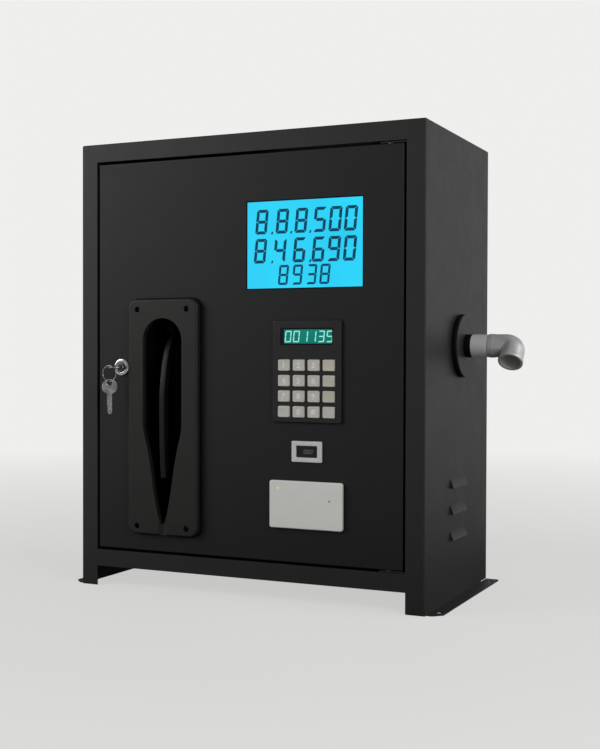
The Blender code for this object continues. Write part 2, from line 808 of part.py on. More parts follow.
def make_supply_and_gland(frame):
    """The power supply on the rear cover, and the gland that its cable would come in by."""
    cover = DEPTH - SHEET - GAP
    back = cover - 0.4
    case = slab("Z", 400, 500, rounded(-165, 214, -45, back, 3, 2))
    lugs = slab("Y", back - 3.8, back, rounded(-178, 415, -32, 485, 4, 3))
    add_part("power_supply", united(case, lugs), zinc(), frame)

    nut, nose, bore = 11.5, 12.0, 4.5
    start, end = DEPTH - 9, DEPTH + GLAND_OUT
    gland = [
        (start, nut),
        (cover, nut),
        (cover, GLAND_NECK),
        (DEPTH + GAP, GLAND_NECK),
        (DEPTH + GAP, nose),
        (DEPTH + 7, nose),
        (end - 2, nose - 2.5),
        (end, nose - 4),
        (end, bore),
        (start, bore),
    ]
    made = turned("Y", GLAND_X, GLAND_Z, gland, bored=True, count=SMALL_ROUND)
    add_part("cable_gland", made, black_plastic(), frame, smooth=True)


# The door and what is fixed to it.


def pocket_half_width(z):
    """Half the width of the holster's opening at a height."""
    if z >= POCKET_CENTRE_Z:
        return math.sqrt(max(POCKET_RADIUS**2 - (z - POCKET_CENTRE_Z) ** 2, 0.0))
    knots = ((POCKET_TIP_Z, 2.0), *POCKET_TAPER)
    for (low_z, low_width), (high_z, high_width) in zip(knots, knots[1:]):
        if z <= high_z:
            return low_width + (high_width - low_width) * (z - low_z) / (high_z - low_z)
    return POCKET_RADIUS


def pocket_levels():
    """The heights at which the pocket's outline has its points, from the tip up to the crown."""
    levels = [POCKET_TIP_Z] + [z for z, _ in POCKET_TAPER] + [273.0, POCKET_CENTRE_Z]
    levels += [POCKET_CENTRE_Z + POCKET_RADIUS * math.sin(math.radians(turn)) for turn in (18, 36, 54, 70, 84)]
    return levels


def pocket_outline():
    """The opening's outline, anticlockwise as seen with X to the right and Z up."""
    levels = pocket_levels()
    right = [(HOLSTER_X + pocket_half_width(z), z) for z in levels]
    left = [(HOLSTER_X - pocket_half_width(z), z) for z in reversed(levels)]
    return right + left


def pocket_floor(z):
    """How deep the pocket is behind its rim at a height."""
    if z >= POCKET_RAMP_Z:
        return POCKET_DEPTH
    along = (POCKET_RAMP_Z - z) / (POCKET_RAMP_Z - POCKET_TIP_Z + 4.0)
    return POCKET_DEPTH * math.sqrt(max(1 - along**2, 0.0))


def pocket_rings(outline, extra_depth):
    """Rings from the rim to the back of the pocket, each narrower than the last."""
    rings = []
    for depth, keep in ((0.0, 1.0), (0.62, 0.9), (0.88, 0.76), (1.0, 0.55)):
        ring = []
        for x, z in outline:
            inner_z = POCKET_CENTRE_Z + (z - POCKET_CENTRE_Z) * (keep * 0.3 + 0.7) if z > POCKET_CENTRE_Z else z
            y = (pocket_floor(z) + extra_depth) * depth
            ring.append((HOLSTER_X + (x - HOLSTER_X) * keep, y, inner_z))
        rings.append(ring)
    return rings


def holster_boot():
    """The pocket behind the plate: an outer and an inner skin joined at the rim, and a fixing flange."""
    outline = pocket_outline()
    skin = bmesh.new()
    layers = []
    for shape, extra in ((widened(outline, BOOT_WALL), BOOT_WALL), (outline, 0.0)):
        rings = pocket_rings(shape, extra)
        layers.append([[skin.verts.new(point) for point in ring] for ring in rings])
    count = len(outline)
    outer, inner = layers
    bands = list(zip(outer, outer[1:])) + list(zip(inner, inner[1:])) + [(outer[0], inner[0])]
    for first, second in bands:
        for index in range(count):
            after = (index + 1) % count
            skin.faces.new((first[index], first[after], second[after], second[index]))
    for back in (outer[-1], inner[-1]):
        for index in range(count // 2 - 1):
            skin.faces.new((back[index], back[index + 1], back[count - 2 - index], back[count - 1 - index]))
    bmesh.ops.recalc_face_normals(skin, faces=skin.faces)
    flange_hole = widened(outline, BOOT_WALL / 2)
    flange = slab("Y", SHEET + GAP, SHEET + GAP + 2.0, widened(outline, 11.0), [flange_hole])
    return united(skin, flange)


def holster_plate():
    holes = [pocket_outline()]
    inset = 14.5
    for x in (PLATE_LEFT + inset, PLATE_RIGHT - inset - 2):
        holes += [circle(x, z, 2.6, 16) for z in (PLATE_TOP - 13.5, PLATE_BOTTOM + 11.0)]
    edge = rounded(PLATE_LEFT, PLATE_BOTTOM, PLATE_RIGHT, PLATE_TOP, 12)
    front = -PLATE_PROUD
    plate = slab("Y", front, -GAP, edge, holes)
    groove_radius = 16.0
    groove_depth = 1.6
    profile = [(PLATE_BOTTOM - 2, groove_radius), (POCKET_TIP_Z + 4, groove_radius)]
    groove = turned("Z", HOLSTER_X, front - groove_radius + groove_depth, profile)
    return cut(plate, groove)


def door_panel():
    lens_gap = 0.4
    keypad_hole_half = 42.0
    wire_hole_width, wire_hole_height = 40.0, 24.0
    cutouts = [
        centred(DISPLAY_X, DISPLAY_Z, DISPLAY_WIDTH + 2 * lens_gap, DISPLAY_HEIGHT + 2 * lens_gap),
        rectangle(PANEL_X - keypad_hole_half, KEYPAD_BOTTOM + 5, PANEL_X + keypad_hole_half, KEYPAD_TOP - 6),
        centred(PANEL_X, COUNTER_Z, WINDOW_WIDTH + 1, WINDOW_HEIGHT + 1),
        centred(PANEL_X, READER_Z, wire_hole_width, wire_hole_height),
        circle(LOCK_X, LOCK_Z, BARREL_RADIUS + 0.4),
        widened(pocket_outline(), BOOT_WALL + 1.0),
    ]
    sheet = slab("Y", 0, SHEET, rectangle(-DOOR_HALF, DOOR_BOTTOM, DOOR_HALF, DOOR_TOP), cutouts)
    inner = DOOR_HALF - SHEET
    ring = slab(
        "Y",
        0.5,
        DOOR_RETURN,
        rectangle(-DOOR_HALF, DOOR_BOTTOM, DOOR_HALF, DOOR_TOP),
        [rectangle(-inner, DOOR_BOTTOM + SHEET, inner, DOOR_TOP - SHEET)],
    )
    pins = [
        turned("Z", HINGE_X, HINGE_Y, [(z - 4, PIN_RADIUS + 0.3), (z + 4, PIN_RADIUS + 0.3)], count=SMALL_ROUND)
        for z in (DOOR_BOTTOM, DOOR_TOP)
    ]
    return cut(united(sheet, ring), *pins)


def hinge_pin(upper):
    """A headed pin through the door's fold and the bracket's hole."""
    head_radius, head_height = 6.0, 6.0
    if upper:
        seat = DOOR_TOP - SHEET - GAP
        tip = 575.3
        head_end = seat - head_height
        profile = [(head_end, head_radius), (seat, head_radius), (seat, PIN_RADIUS), (tip, PIN_RADIUS)]
    else:
        seat = DOOR_BOTTOM + SHEET + GAP
        tip = 49.6
        head_end = seat + head_height
        profile = [(tip, PIN_RADIUS), (seat, PIN_RADIUS), (seat, head_radius), (head_end, head_radius)]
    return turned("Z", HINGE_X, HINGE_Y, profile, count=SMALL_ROUND)


def key_places():
    """The middle of each keypad key, row by row from the top left."""
    for row in range(4):
        for column in range(4):
            x = PANEL_X + (column - 1.5) * KEY_PITCH_X
            yield x, KEY_TOP_ROW_Z - row * KEY_PITCH_Z


def keypad_housing():
    windows = [centred(PANEL_X, PRESET_Z, PRESET_WIDTH, PRESET_HEIGHT)]
    windows += [centred(x, z, KEY_WIDTH + 2 * KEY_GAP, KEY_HEIGHT + 2 * KEY_GAP) for x, z in key_places()]
    edge = rounded(PANEL_X - KEYPAD_WIDTH / 2, KEYPAD_BOTTOM, PANEL_X + KEYPAD_WIDTH / 2, KEYPAD_TOP, 2.5, 3)
    return slab("Y", -KEYPAD_PROUD, -GAP, edge, windows)


def keypad_key():
    """One key about its own middle: a retaining flange at the back and a slightly tapered cap."""
    flange = 0.8
    rings = []
    for y, grow in ((1.2, flange), (0.0, flange), (0.0, 0.0), (-KEY_PROUD + 0.6, 0.0), (-KEY_PROUD, -0.7)):
        outline = centred(0, 0, KEY_WIDTH + 2 * grow, KEY_HEIGHT + 2 * grow)
        rings.append([(x, y, z) for x, z in outline])
    return lofted(rings)


def control_board():
    """The board behind the keypad, with its processor, relay, plug block and regulator."""
    half_width, low, high = 50.0, 222.0, 366.0
    board_y, board_back = 4.2, 5.8
    chip_y = board_back - 0.5
    board = slab("Y", board_y, board_back, rectangle(PANEL_X - half_width, low, PANEL_X + half_width, high))
    chips = [
        block(PANEL_X - 12, chip_y, 280, PANEL_X + 12, 8.2, 304),
        block(PANEL_X - 40, chip_y, 236, PANEL_X - 22, 14.0, 262),
        block(PANEL_X + 18, chip_y, 330, PANEL_X + 42, 12.0, 342),
        block(PANEL_X + 26, chip_y, 246, PANEL_X + 34, 9.0, 270),
    ]
    return united(board, *chips)


def reader_cover():
    left, right = PANEL_X - READER_WIDTH / 2, PANEL_X + READER_WIDTH / 2
    low, high = READER_Z - READER_HEIGHT / 2, READER_Z + READER_HEIGHT / 2
    holes = [circle(PANEL_X + LED_OFFSET[0], READER_Z + LED_OFFSET[1], LED_RADIUS + 0.2, 16)]
    holes.append(circle(PANEL_X + SOUND_HOLE_OFFSET[0], READER_Z + SOUND_HOLE_OFFSET[1], 1.2, 12))
    return slab("Y", -READER_PROUD, -GAP, rounded(left, low, right, high, 3.0), holes)


def make_door(door, frame_paint):
    add_part("door_panel", door_panel(), frame_paint, door)
    add_part("hinge_pin_upper", hinge_pin(upper=True), zinc(), door, smooth=True)
    add_part("hinge_pin_lower", hinge_pin(upper=False), zinc(), door, smooth=True)
    add_part("holster_plate", holster_plate(), black_plastic(), door)
    add_part("holster_boot", holster_boot(), black_plastic(), door)
    switch_y = POCKET_DEPTH + 3
    switch = block(LEVER_X - 10, switch_y, 318, LEVER_X + 10, switch_y + 18, 348)
    add_part("nozzle_switch", switch, black_plastic(), door)

    lens = slab("Y", 0.6, 3.4, centred(DISPLAY_X, DISPLAY_Z, DISPLAY_WIDTH, DISPLAY_HEIGHT))
    add_part("display_lens", lens, display_blue(), door)
    module = slab("Y", 3.8, 24, rounded(DISPLAY_X - 85, DISPLAY_Z - 60, DISPLAY_X + 85, DISPLAY_Z + 60, 2, 2))
    add_part("display_module", module, black_plastic(), door)

    add_part("keypad_housing", keypad_housing(), black_plastic(), door)
    preset = slab("Y", -3.2, 2.0, centred(PANEL_X, PRESET_Z, PRESET_WIDTH - 2 * GAP, PRESET_HEIGHT - 2 * GAP))
    add_part("preset_lcd", preset, preset_green(), door)
    add_part("control_board", control_board(), board_green(), door)

    low, high = COUNTER_Z - COUNTER_HEIGHT / 2, COUNTER_Z + COUNTER_HEIGHT / 2
    edge = rounded(PANEL_X - COUNTER_WIDTH / 2, low, PANEL_X + COUNTER_WIDTH / 2, high, 1.5, 3)
    window = centred(PANEL_X, COUNTER_Z, WINDOW_WIDTH, WINDOW_HEIGHT)
    add_part("counter_bezel", slab("Y", -3.0, -GAP, edge, [window]), chrome(), door)
    nose = centred(PANEL_X, COUNTER_Z, WINDOW_WIDTH - 2 * GAP, WINDOW_HEIGHT - 2 * GAP)
    body = centred(PANEL_X, COUNTER_Z, WINDOW_WIDTH + 7, WINDOW_HEIGHT + 7)
    depths = ((-1.6, nose), (SHEET + GAP, nose), (SHEET + GAP, body), (30.0, body))
    rings = [[(x, y, z) for x, z in outline] for y, outline in depths]
    add_part("counter_module", lofted(rings), black_plastic(), door)

    add_part("reader_cover", reader_cover(), reader_grey(), door)
    led_profile = [(-READER_PROUD - 0.3, LED_RADIUS), (-1.0, LED_RADIUS)]
    led_place = (PANEL_X + LED_OFFSET[0], READER_Z + LED_OFFSET[1])
    add_part("reader_led", turned("Y", *led_place, led_profile, count=16), led_green(), door, smooth=True)


def make_keypad_keys(door):
    names = ["1", "2", "3", "enter", "4", "5", "6", "clear"]
    names += ["7", "8", "9", "volume", "star", "0", "hash", "price"]
    first = None
    for name, (x, z) in zip(names, key_places()):
        place = (x, 0.0, z)
        pivot = add_empty("key_" + name + "_slide", place, door)
        if first is None:
            solid = keypad_key()
            bmesh.ops.translate(solid, verts=solid.verts, vec=Vector(place))
            made = add_part("key_" + name, solid, key_grey(), pivot, origin=place)
            first = made.data
        else:
            made = bpy.data.objects.new("key_" + name, first)
            bpy.context.scene.collection.objects.link(made)
            made.parent = pivot


# The lock, the keys and the nozzle lever, which move on the door.


def make_lock(door):
    at = (LOCK_X, LOCK_Z)
    bore = PLUG_RADIUS + GAP
    face_y = -3.2
    body = [
        (face_y, LOCK_FACE_RADIUS - 1.0),
        (face_y + 0.8, LOCK_FACE_RADIUS),
        (-GAP, LOCK_FACE_RADIUS),
        (-GAP, BARREL_RADIUS),
        (BARREL_END, BARREL_RADIUS),
        (BARREL_END, bore),
        (face_y, bore),
    ]
    add_part("lock_body", turned("Y", *at, body, bored=True, count=SMALL_ROUND), chrome(), door, smooth=True)
    nut_radius, nut_back = 14.0, 6.0
    nut = slab("Y", SHEET + GAP, nut_back, circle(*at, nut_radius, 6), [circle(*at, BARREL_RADIUS + GAP)])
    add_part("lock_nut", nut, zinc(), door)

    core = add_empty("lock_core_pivot", (LOCK_X, 0.0, LOCK_Z), door)
    place = core["place"]
    cam_start = BARREL_END + 0.4
    stub_radius = 4.0
    plug_end = BARREL_END + 0.1
    plug = turned("Y", *at, [
        (face_y - 0.4, PLUG_RADIUS),
        (plug_end, PLUG_RADIUS),
        (plug_end, stub_radius),
        (cam_start + 3.4, stub_radius),
    ], count=SMALL_ROUND)
    slot_half_x, slot_half_z, slot_end = 4.3, 1.25, 14.0
    slot_low = (LOCK_X - slot_half_x, face_y - 2.8, LOCK_Z - slot_half_z)
    slot = block(*slot_low, LOCK_X + slot_half_x, slot_end, LOCK_Z + slot_half_z)
    add_part("lock_plug", cut(plug, slot), chrome(), core, origin=place, smooth=True)

    half = 7.5
    cam = arc(LOCK_X, LOCK_Z, half + 2, 0, math.pi, 10)
    cam += [(LOCK_X - half, LOCK_Z - CAM_LENGTH + 4), (LOCK_X - half + 4, LOCK_Z - CAM_LENGTH)]
    cam += [(LOCK_X + half - 4, LOCK_Z - CAM_LENGTH), (LOCK_X + half, LOCK_Z - CAM_LENGTH + 4)]
    cam_thickness = 2.5
    cam_hole = circle(*at, stub_radius + 0.25)
    cam_solid = slab("Y", cam_start, cam_start + cam_thickness, cam, [cam_hole])
    add_part("lock_cam", cam_solid, zinc(), core, origin=place)

    low, high = LOCK_Z - KEY_THICKNESS / 2, LOCK_Z + KEY_THICKNESS / 2
    neck = 4.0
    spread = math.asin(neck / BOW_RADIUS)
    bow = arc(LOCK_X, BOW_Y, BOW_RADIUS, math.pi / 2 + spread, math.pi * 2.5 - spread, 28)
    blade_tip = 13.0
    outline = bow + [(LOCK_X + neck, blade_tip - 2), (LOCK_X + 1.0, blade_tip), (LOCK_X - neck, blade_tip - 4)]
    solid = slab("Z", low, high, outline, [circle(LOCK_X, BOW_HOLE_Y, BOW_HOLE_RADIUS)])
    add_part("cabinet_key", solid, chrome(), core, origin=place)
    return core


def make_ring_and_spare(core):
    ring_place = (RING_X, BOW_HOLE_Y, RING_Z)
    pivot = add_empty("key_ring_pivot", ring_place, core)
    rings = []
    for step in range(36):
        turn = math.tau * step / 36
        outward = Vector((math.cos(turn), 0, math.sin(turn)))
        ring = []
        for index in range(8):
            angle = math.tau * index / 8
            offset = outward * (RING_RADIUS + WIRE_RADIUS * math.cos(angle))
            ring.append(Vector(ring_place) + offset + Vector((0, WIRE_RADIUS * math.sin(angle), 0)))
        rings.append(ring)
    add_part("key_ring", lofted(rings, closed_loop=True), chrome(), pivot, origin=ring_place, smooth=True)

    wire_z = RING_Z - RING_RADIUS
    spare_place = (RING_X, BOW_HOLE_Y, wire_z)
    swing = add_empty("spare_key_pivot", spare_place, pivot)
    hole_z = -SPARE_WIRE_OFFSET
    bow_z = hole_z - SPARE_HOLE_OFFSET
    blade_end = SPARE_BLADE_END - wire_z
    neck = 4.0
    spread = math.asin(neck / SPARE_BOW_RADIUS)
    bow = arc(0, bow_z, SPARE_BOW_RADIUS, -math.pi / 2 + spread, math.pi * 1.5 - spread, 28)
    outline = bow + [(-neck, blade_end + 4), (-1.0, blade_end), (neck, blade_end + 2)]
    half = KEY_THICKNESS / 2
    solid = slab("Y", -half, half, outline, [circle(0, hole_z, SPARE_HOLE_RADIUS)])
    # The flat of the key faces forwards and to the right.
    face_turn = Matrix.Rotation(math.pi / 2 - SPARE_TURN, 4, "Z")
    moved(solid, Matrix.Translation(Vector(spare_place)) @ face_turn)
    add_part("spare_key", solid, chrome(), swing, origin=spare_place)


def smooth_path(points, pieces):
    """Points along a smooth curve through the given points."""
    padded = [points[0], *points, points[-1]]
    path = []
    for a, b, c, d in zip(padded, padded[1:], padded[2:], padded[3:]):
        a, b, c, d = Vector(a), Vector(b), Vector(c), Vector(d)
        for step in range(pieces):
            t = step / pieces
            first, second = 2 * b + (c - a) * t, (2 * a - 5 * b + 4 * c - d) * t**2
            path.append((first + second + (3 * b - a - 3 * c + d) * t**3) / 2)
    path.append(Vector(points[-1]))
    return path


def make_lever(door):
    place = (LEVER_X, *LEVER_PIVOT)
    pivot = add_empty("nozzle_lever_pivot", place, door)
    path = smooth_path(LEVER_CURVE, 4)
    rings = []
    for index, point in enumerate(path):
        along = path[min(index + 1, len(path) - 1)] - path[max(index - 1, 0)]
        across = Vector((along.y, -along.x)).normalized() * LEVER_DEPTH / 2
        ends = [point + across, point - across]
        ring = []
        for side, (first, second) in ((-1, ends), (1, ends[::-1])):
            ring += [(LEVER_X + side * LEVER_WIDTH / 2, end.x, end.y) for end in (first, second)]
        rings.append(ring)
    bar = lofted(rings)
    y, z = LEVER_PIVOT
    hub = turned("X", y, z, [(LEVER_X - 15, 5.0), (LEVER_X + 17, 5.0)], count=SMALL_ROUND)
    add_part("nozzle_lever", united(bar, hub), black_plastic(), pivot, origin=place, smooth=True)


def main():
    clear_scene()
    frame = add_empty("cabinet_frame", (0.0, 0.0, 0.0))
    make_cabinet(frame)
    make_outlet(frame)
    make_motor(frame)
    make_pump(frame)
    make_meter_and_valve(frame)
    make_supply_and_gland(frame)
    door = add_empty("door_pivot", (HINGE_X, HINGE_Y, 0.0), frame)
    make_door(door, door_paint())
    make_keypad_keys(door)
    core = make_lock(door)
    make_ring_and_spare(core)
    make_lever(door)
    frame.location = (SHIFT_X * MM, SHIFT_Y * MM, 0.0)


main()
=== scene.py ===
"""The finished look of the compact fuel dispenser cabinet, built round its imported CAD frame.

Shapes are drawn in millimetres in the cabinet's own frame: X runs across the front with 0 at the
cabinet's middle, Y runs back from 0 at the door's face, and Z runs up from the feet. TO_ROW carries
them into the frame's metres.
"""

import math

import bmesh
import bpy
from mathutils import Matrix, Vector


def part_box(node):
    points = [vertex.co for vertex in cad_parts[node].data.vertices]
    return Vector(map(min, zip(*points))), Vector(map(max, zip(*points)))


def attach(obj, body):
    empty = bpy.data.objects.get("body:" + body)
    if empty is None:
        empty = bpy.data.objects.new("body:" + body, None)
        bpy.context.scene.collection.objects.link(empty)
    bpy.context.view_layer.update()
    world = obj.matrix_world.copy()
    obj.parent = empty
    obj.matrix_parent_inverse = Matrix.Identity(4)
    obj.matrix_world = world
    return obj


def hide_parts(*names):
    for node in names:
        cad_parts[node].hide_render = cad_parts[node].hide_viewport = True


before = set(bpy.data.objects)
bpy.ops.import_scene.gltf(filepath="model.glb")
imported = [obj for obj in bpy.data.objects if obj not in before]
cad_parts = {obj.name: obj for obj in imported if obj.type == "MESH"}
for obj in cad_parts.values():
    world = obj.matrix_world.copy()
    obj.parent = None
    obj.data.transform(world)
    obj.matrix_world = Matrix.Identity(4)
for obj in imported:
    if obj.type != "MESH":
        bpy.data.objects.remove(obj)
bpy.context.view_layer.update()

MM = 0.001
cover_low, cover_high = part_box("back_panel")
SHIFT = Vector(((cover_low.x + cover_high.x) / 2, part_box("door_panel")[0].y, 0.0))
TO_ROW = Matrix.Translation(SHIFT) @ Matrix.Scale(MM, 4)


def span(node):
    """A CAD node's lowest and highest corners in millimetres in the cabinet's own frame."""
    low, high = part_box(node)
    return (low - SHIFT) / MM, (high - SHIFT) / MM


def middle(node):
    low, high = span(node)
    return (low + high) / 2


# The cabinet, from the frame.
HALF = span("back_panel")[1].x
DEPTH = span("back_panel")[1].y
HEIGHT = span("back_panel")[1].z
SHEET = 1.5
SEAM_Y = span("back_panel")[0].y
STILE_EDGE = span("side_panel_right")[0].x
FOOT_EDGE = span("side_panel_right")[1].x
FLOOR = span("floor_tray")[0].z
OPENING_BOTTOM = span("floor_tray")[1].z
OPENING_TOP = span("top_panel")[0].z
RETURN = 16.0  # depth of the folded edge round the door opening
BEND = 2.2  # outside radius of the sheet's bends
FOOT_HOLES_Y = (26.0, 248.0)
LOUVRE_BOTTOMS = (78.0, 111.5, 145.0)
MOTOR_Z = 104.0  # height of the motor's and the pump's axis
METER_X, METER_Z = 93.0, 328.0  # middle of the flow meter's cap

# The door and what it carries.
DOOR_LOW, DOOR_HIGH = span("door_panel")
DISPLAY_LOW, DISPLAY_HIGH = span("display_lens")
PANEL_X = middle("keypad_housing").x
PLATE_LOW, PLATE_HIGH = span("holster_plate")
PLATE_CORNER = 12.0  # radius of the holster plate's corners
HOLSTER_X = -114.2
POCKET_RADIUS = 29.1
POCKET_CENTRE_Z = 333.5
POCKET_DEPTH = 62.0
POCKET_RAMP_Z = 170.0  # below this the pocket's floor comes forward
POCKET_TIP_Z = 91.0
# Heights up the pocket's opening, and half its width at each.
POCKET_KNOTS = ((91.0, 2.0), (98.0, 6.0), (136.0, 13.5), (163.0, 17.3), (189.0, 22.2), (213.0, 29.1))
LOCK_X = middle("lock_body").x
LOCK_Z = middle("lock_body").z
RING_X = middle("key_ring").x
RING_Z = middle("key_ring").z
RING_Y = middle("key_ring").y
RING_RADIUS = 10.5  # to the middle of the ring's wire
KEY_OUT = 17.6  # from the door's face to the middle of the bow of the key in the lock
KEY_THICKNESS = 1.8
OUTLET_Y = middle("outlet_nipple").y
OUTLET_Z = middle("outlet_nipple").z
ELBOW_TURN = math.radians(42)  # the mouth points down, turned this much towards the front
MOUTH_OUT = 71.0  # from the side wall to the middle of the mouth
MOUTH_DROP = 28.5  # from the pipe's axis to the mouth


# Outlines and solids.


def rectangle(low_u, low_v, high_u, high_v):
    return [(low_u, low_v), (high_u, low_v), (high_u, high_v), (low_u, high_v)]


def arc(centre_u, centre_v, radius, first, last, steps):
    turns = [first + (last - first) * step / steps for step in range(steps + 1)]
    return [(centre_u + radius * math.cos(turn), centre_v + radius * math.sin(turn)) for turn in turns]


def circle(centre_u, centre_v, radius, count=48):
    return arc(centre_u, centre_v, radius, 0, math.tau, count)[:-1]


def rounded(low_u, low_v, high_u, high_v, radius, steps=6):
    corners = (
        (high_u - radius, high_v - radius),
        (low_u + radius, high_v - radius),
        (low_u + radius, low_v + radius),
        (high_u - radius, low_v + radius),
    )
    outline = []
    for quarter, (centre_u, centre_v) in enumerate(corners):
        start = quarter * math.pi / 2
        outline += arc(centre_u, centre_v, radius, start, start + math.pi / 2, steps)
    return outline


def around(low, high, grow=0.0, corner=0.0, steps=6):
    """A box's outline as seen from the front, grown on every side, with round corners if given."""
    sides = (low.x - grow, low.z - grow, high.x + grow, high.z + grow)
    return rounded(*sides, corner, steps) if corner else rectangle(*sides)


def placed(axis, along, u, v):
    """The point at a place along an axis, with u and v on the other two axes in their order."""
    return {"X": (along, u, v), "Y": (u, along, v), "Z": (u, v, along)}[axis]


def slab(axis, low, high, outline, holes=()):
    """A flat solid: an outline with holes, drawn across the axis and stretched from low to high."""
    solid = bmesh.new()
    edges = []
    for loop in (outline, *holes):
        corners = [solid.verts.new(placed(axis, low, u, v)) for u, v in loop]
        edges += [solid.edges.new((corners[i - 1], corners[i])) for i in range(len(corners))]
    bmesh.ops.triangle_fill(solid, use_beauty=True, use_dissolve=False, edges=edges)
    grown = bmesh.ops.extrude_face_region(solid, geom=solid.faces[:])
    lifted = [item for item in grown["geom"] if isinstance(item, bmesh.types.BMVert)]
    bmesh.ops.translate(solid, verts=lifted, vec=Vector(placed(axis, high - low, 0, 0)))
    bmesh.ops.recalc_face_normals(solid, faces=solid.faces)
    bmesh.ops.dissolve_limit(solid, angle_limit=0.001, verts=solid.verts, edges=solid.edges)
    return solid


def block(low_x, low_y, low_z, high_x, high_y, high_z):
    return slab("Z", low_z, high_z, rectangle(low_x, low_y, high_x, high_y))


def lofted(rings, closed_loop=False):
    """A skin over rings of equally many points, capped at both ends or closed on itself."""
    solid = bmesh.new()
    rows = [[solid.verts.new(point) for point in ring] for ring in rings]
    pairs = list(zip(rows, rows[1:]))
    if closed_loop:
        pairs.append((rows[-1], rows[0]))
    for first, second in pairs:
        for index in range(len(first)):
            after = (index + 1) % len(first)
            solid.faces.new((first[index], first[after], second[after], second[index]))
    if not closed_loop:
        solid.faces.new(rows[0])
        solid.faces.new(rows[-1])
    bmesh.ops.recalc_face_normals(solid, faces=solid.faces)
    return solid


def turned(axis, centre_u, centre_v, profile, bored=False, count=64):
    """A turned solid about an axis line, from a list of (place along the axis, radius)."""
    rings = []
    for along, radius in profile:
        rings.append([placed(axis, along, u, v) for u, v in circle(centre_u, centre_v, radius, count)])
    return lofted(rings, closed_loop=bored)


def eased_profile(profile, radius, steps=3):
    """A bored profile with its corners rounded."""
    points = [Vector(point) for point in profile]
    made = []
    for index, here in enumerate(points):
        before = points[index - 1] - here
        after = points[(index + 1) % len(points)] - here
        reach = min(radius, before.length * 0.45, after.length * 0.45)
        start = here + before.normalized() * reach
        end = here + after.normalized() * reach
        for step in range(steps + 1):
            share = step / steps
            made.append(tuple(start * (1 - share) ** 2 + here * 2 * share * (1 - share) + end * share**2))
    return made


def swept(path, section):
    """Rings along a path in the YZ plane. The section lists (X, offset across the path) pairs."""
    rings = []
    for index, point in enumerate(path):
        along = path[min(index + 1, len(path) - 1)] - path[max(index - 1, 0)]
        across = Vector((along.y, -along.x)).normalized()
        ring = []
        for offset_x, offset in section:
            place = point + across * offset
            ring.append((offset_x, place.x, place.y))
        rings.append(ring)
    return rings


def smooth_path(points, pieces):
    """Points along a smooth curve through the given points."""
    padded = [points[0], *points, points[-1]]
    path = []
    for a, b, c, d in zip(padded, padded[1:], padded[2:], padded[3:]):
        a, b, c, d = Vector(a), Vector(b), Vector(c), Vector(d)
        for step in range(pieces):
            t = step / pieces
            first, second = 2 * b + (c - a) * t, (2 * a - 5 * b + 4 * c - d) * t**2
            path.append(0.5 * (first + second + (3 * b - a - 3 * c + d) * t**3))
    path.append(Vector(points[-1]))
    return path


def linked(name, data):
    """A new object in the scene."""
    made = bpy.data.objects.new(name, data)
    bpy.context.scene.collection.objects.link(made)
    return made


def plain_object(name, solid):
    mesh = bpy.data.meshes.new(name)
    solid.to_mesh(mesh)
    solid.free()
    return linked(name, mesh)


def merged(solid, others, operation):
    """The solid with the others united to it or cut from it, by exact Booleans."""
    base = plain_object("base", solid)
    for other in others:
        tool = plain_object("tool", other)
        step = base.modifiers.new("step", "BOOLEAN")
        step.operation = operation
        step.solver = "EXACT"
        step.object = tool
        graph = bpy.context.evaluated_depsgraph_get()
        result = bpy.data.meshes.new_from_object(base.evaluated_get(graph))
        base.modifiers.remove(step)
        base.data = result
        bpy.data.objects.remove(tool)
    final = bmesh.new()
    final.from_mesh(base.data)
    bpy.data.objects.remove(base)
    return final


def united(solid, *others):
    return merged(solid, others, "UNION")


def cut(solid, *others):
    return merged(solid, others, "DIFFERENCE")


def gathered(solids):
    """Several solids as one mesh, without a Boolean, for pieces that don't touch."""
    whole = bmesh.new()
    for solid in solids:
        mesh = bpy.data.meshes.new("gathered")
        solid.to_mesh(mesh)
        solid.free()
        whole.from_mesh(mesh)
        bpy.data.meshes.remove(mesh)
    return whole


def eased(solid, radius, chosen, segments=4):
    """The solid with the edges whose middle passes the test rounded."""
    edges = []
    for edge in solid.edges:
        first, second = (vert.co for vert in edge.verts)
        if len(edge.link_faces) == 2 and edge.calc_face_angle(0) > 0.3 and chosen(first, second):
            edges.append(edge)
    rounding = {"offset": radius, "offset_type": "OFFSET", "segments": segments, "profile": 0.5}
    bmesh.ops.bevel(solid, geom=edges, affect="EDGES", **rounding)
    return solid


def bends_at(at_end):
    """A test for the cabinet's outer bends at one end: those of its sides and of its top."""
    def chosen(a, b):
        sides = min(abs(a.x), abs(b.x)) > HALF - 1 and at_end(a.y) and at_end(b.y)
        top = min(a.z, b.z) > HEIGHT - 1 and (at_end(a.y) or at_end(b.y))
        return sides or top

    return chosen


def rim_of(low, high, margin=3.2):
    """A test for edges in the front face of a plate on the panel's middle line, near its outline."""
    def chosen(a, b):
        return max(a.y, b.y) < low.y + 0.01 and all(
            abs(point.x - PANEL_X) > (high.x - low.x) / 2 - margin
            or not low.z + margin < point.z < high.z - margin
            for point in (a, b)
        )

    return chosen


def mirrored(solid):
    bmesh.ops.transform(solid, matrix=Matrix.Scale(-1, 4, Vector((1, 0, 0))), verts=solid.verts)
    bmesh.ops.reverse_faces(solid, faces=solid.faces)
    return solid


def turned_by(solid, matrix):
    bmesh.ops.transform(solid, matrix=matrix, verts=solid.verts)
    return solid


def ease_edges(made, ease, angle, keep_sharp):
    """Modifiers that round an object's edges, where ease is above 0, and even out its normals."""
    if ease:
        bevel = made.modifiers.new("edges", "BEVEL")
        bevel.width = ease * MM
        bevel.segments = 2
        bevel.limit_method = "ANGLE"
        bevel.angle_limit = math.radians(angle)
    weighted = made.modifiers.new("normals", "WEIGHTED_NORMAL")
    weighted.keep_sharp = keep_sharp


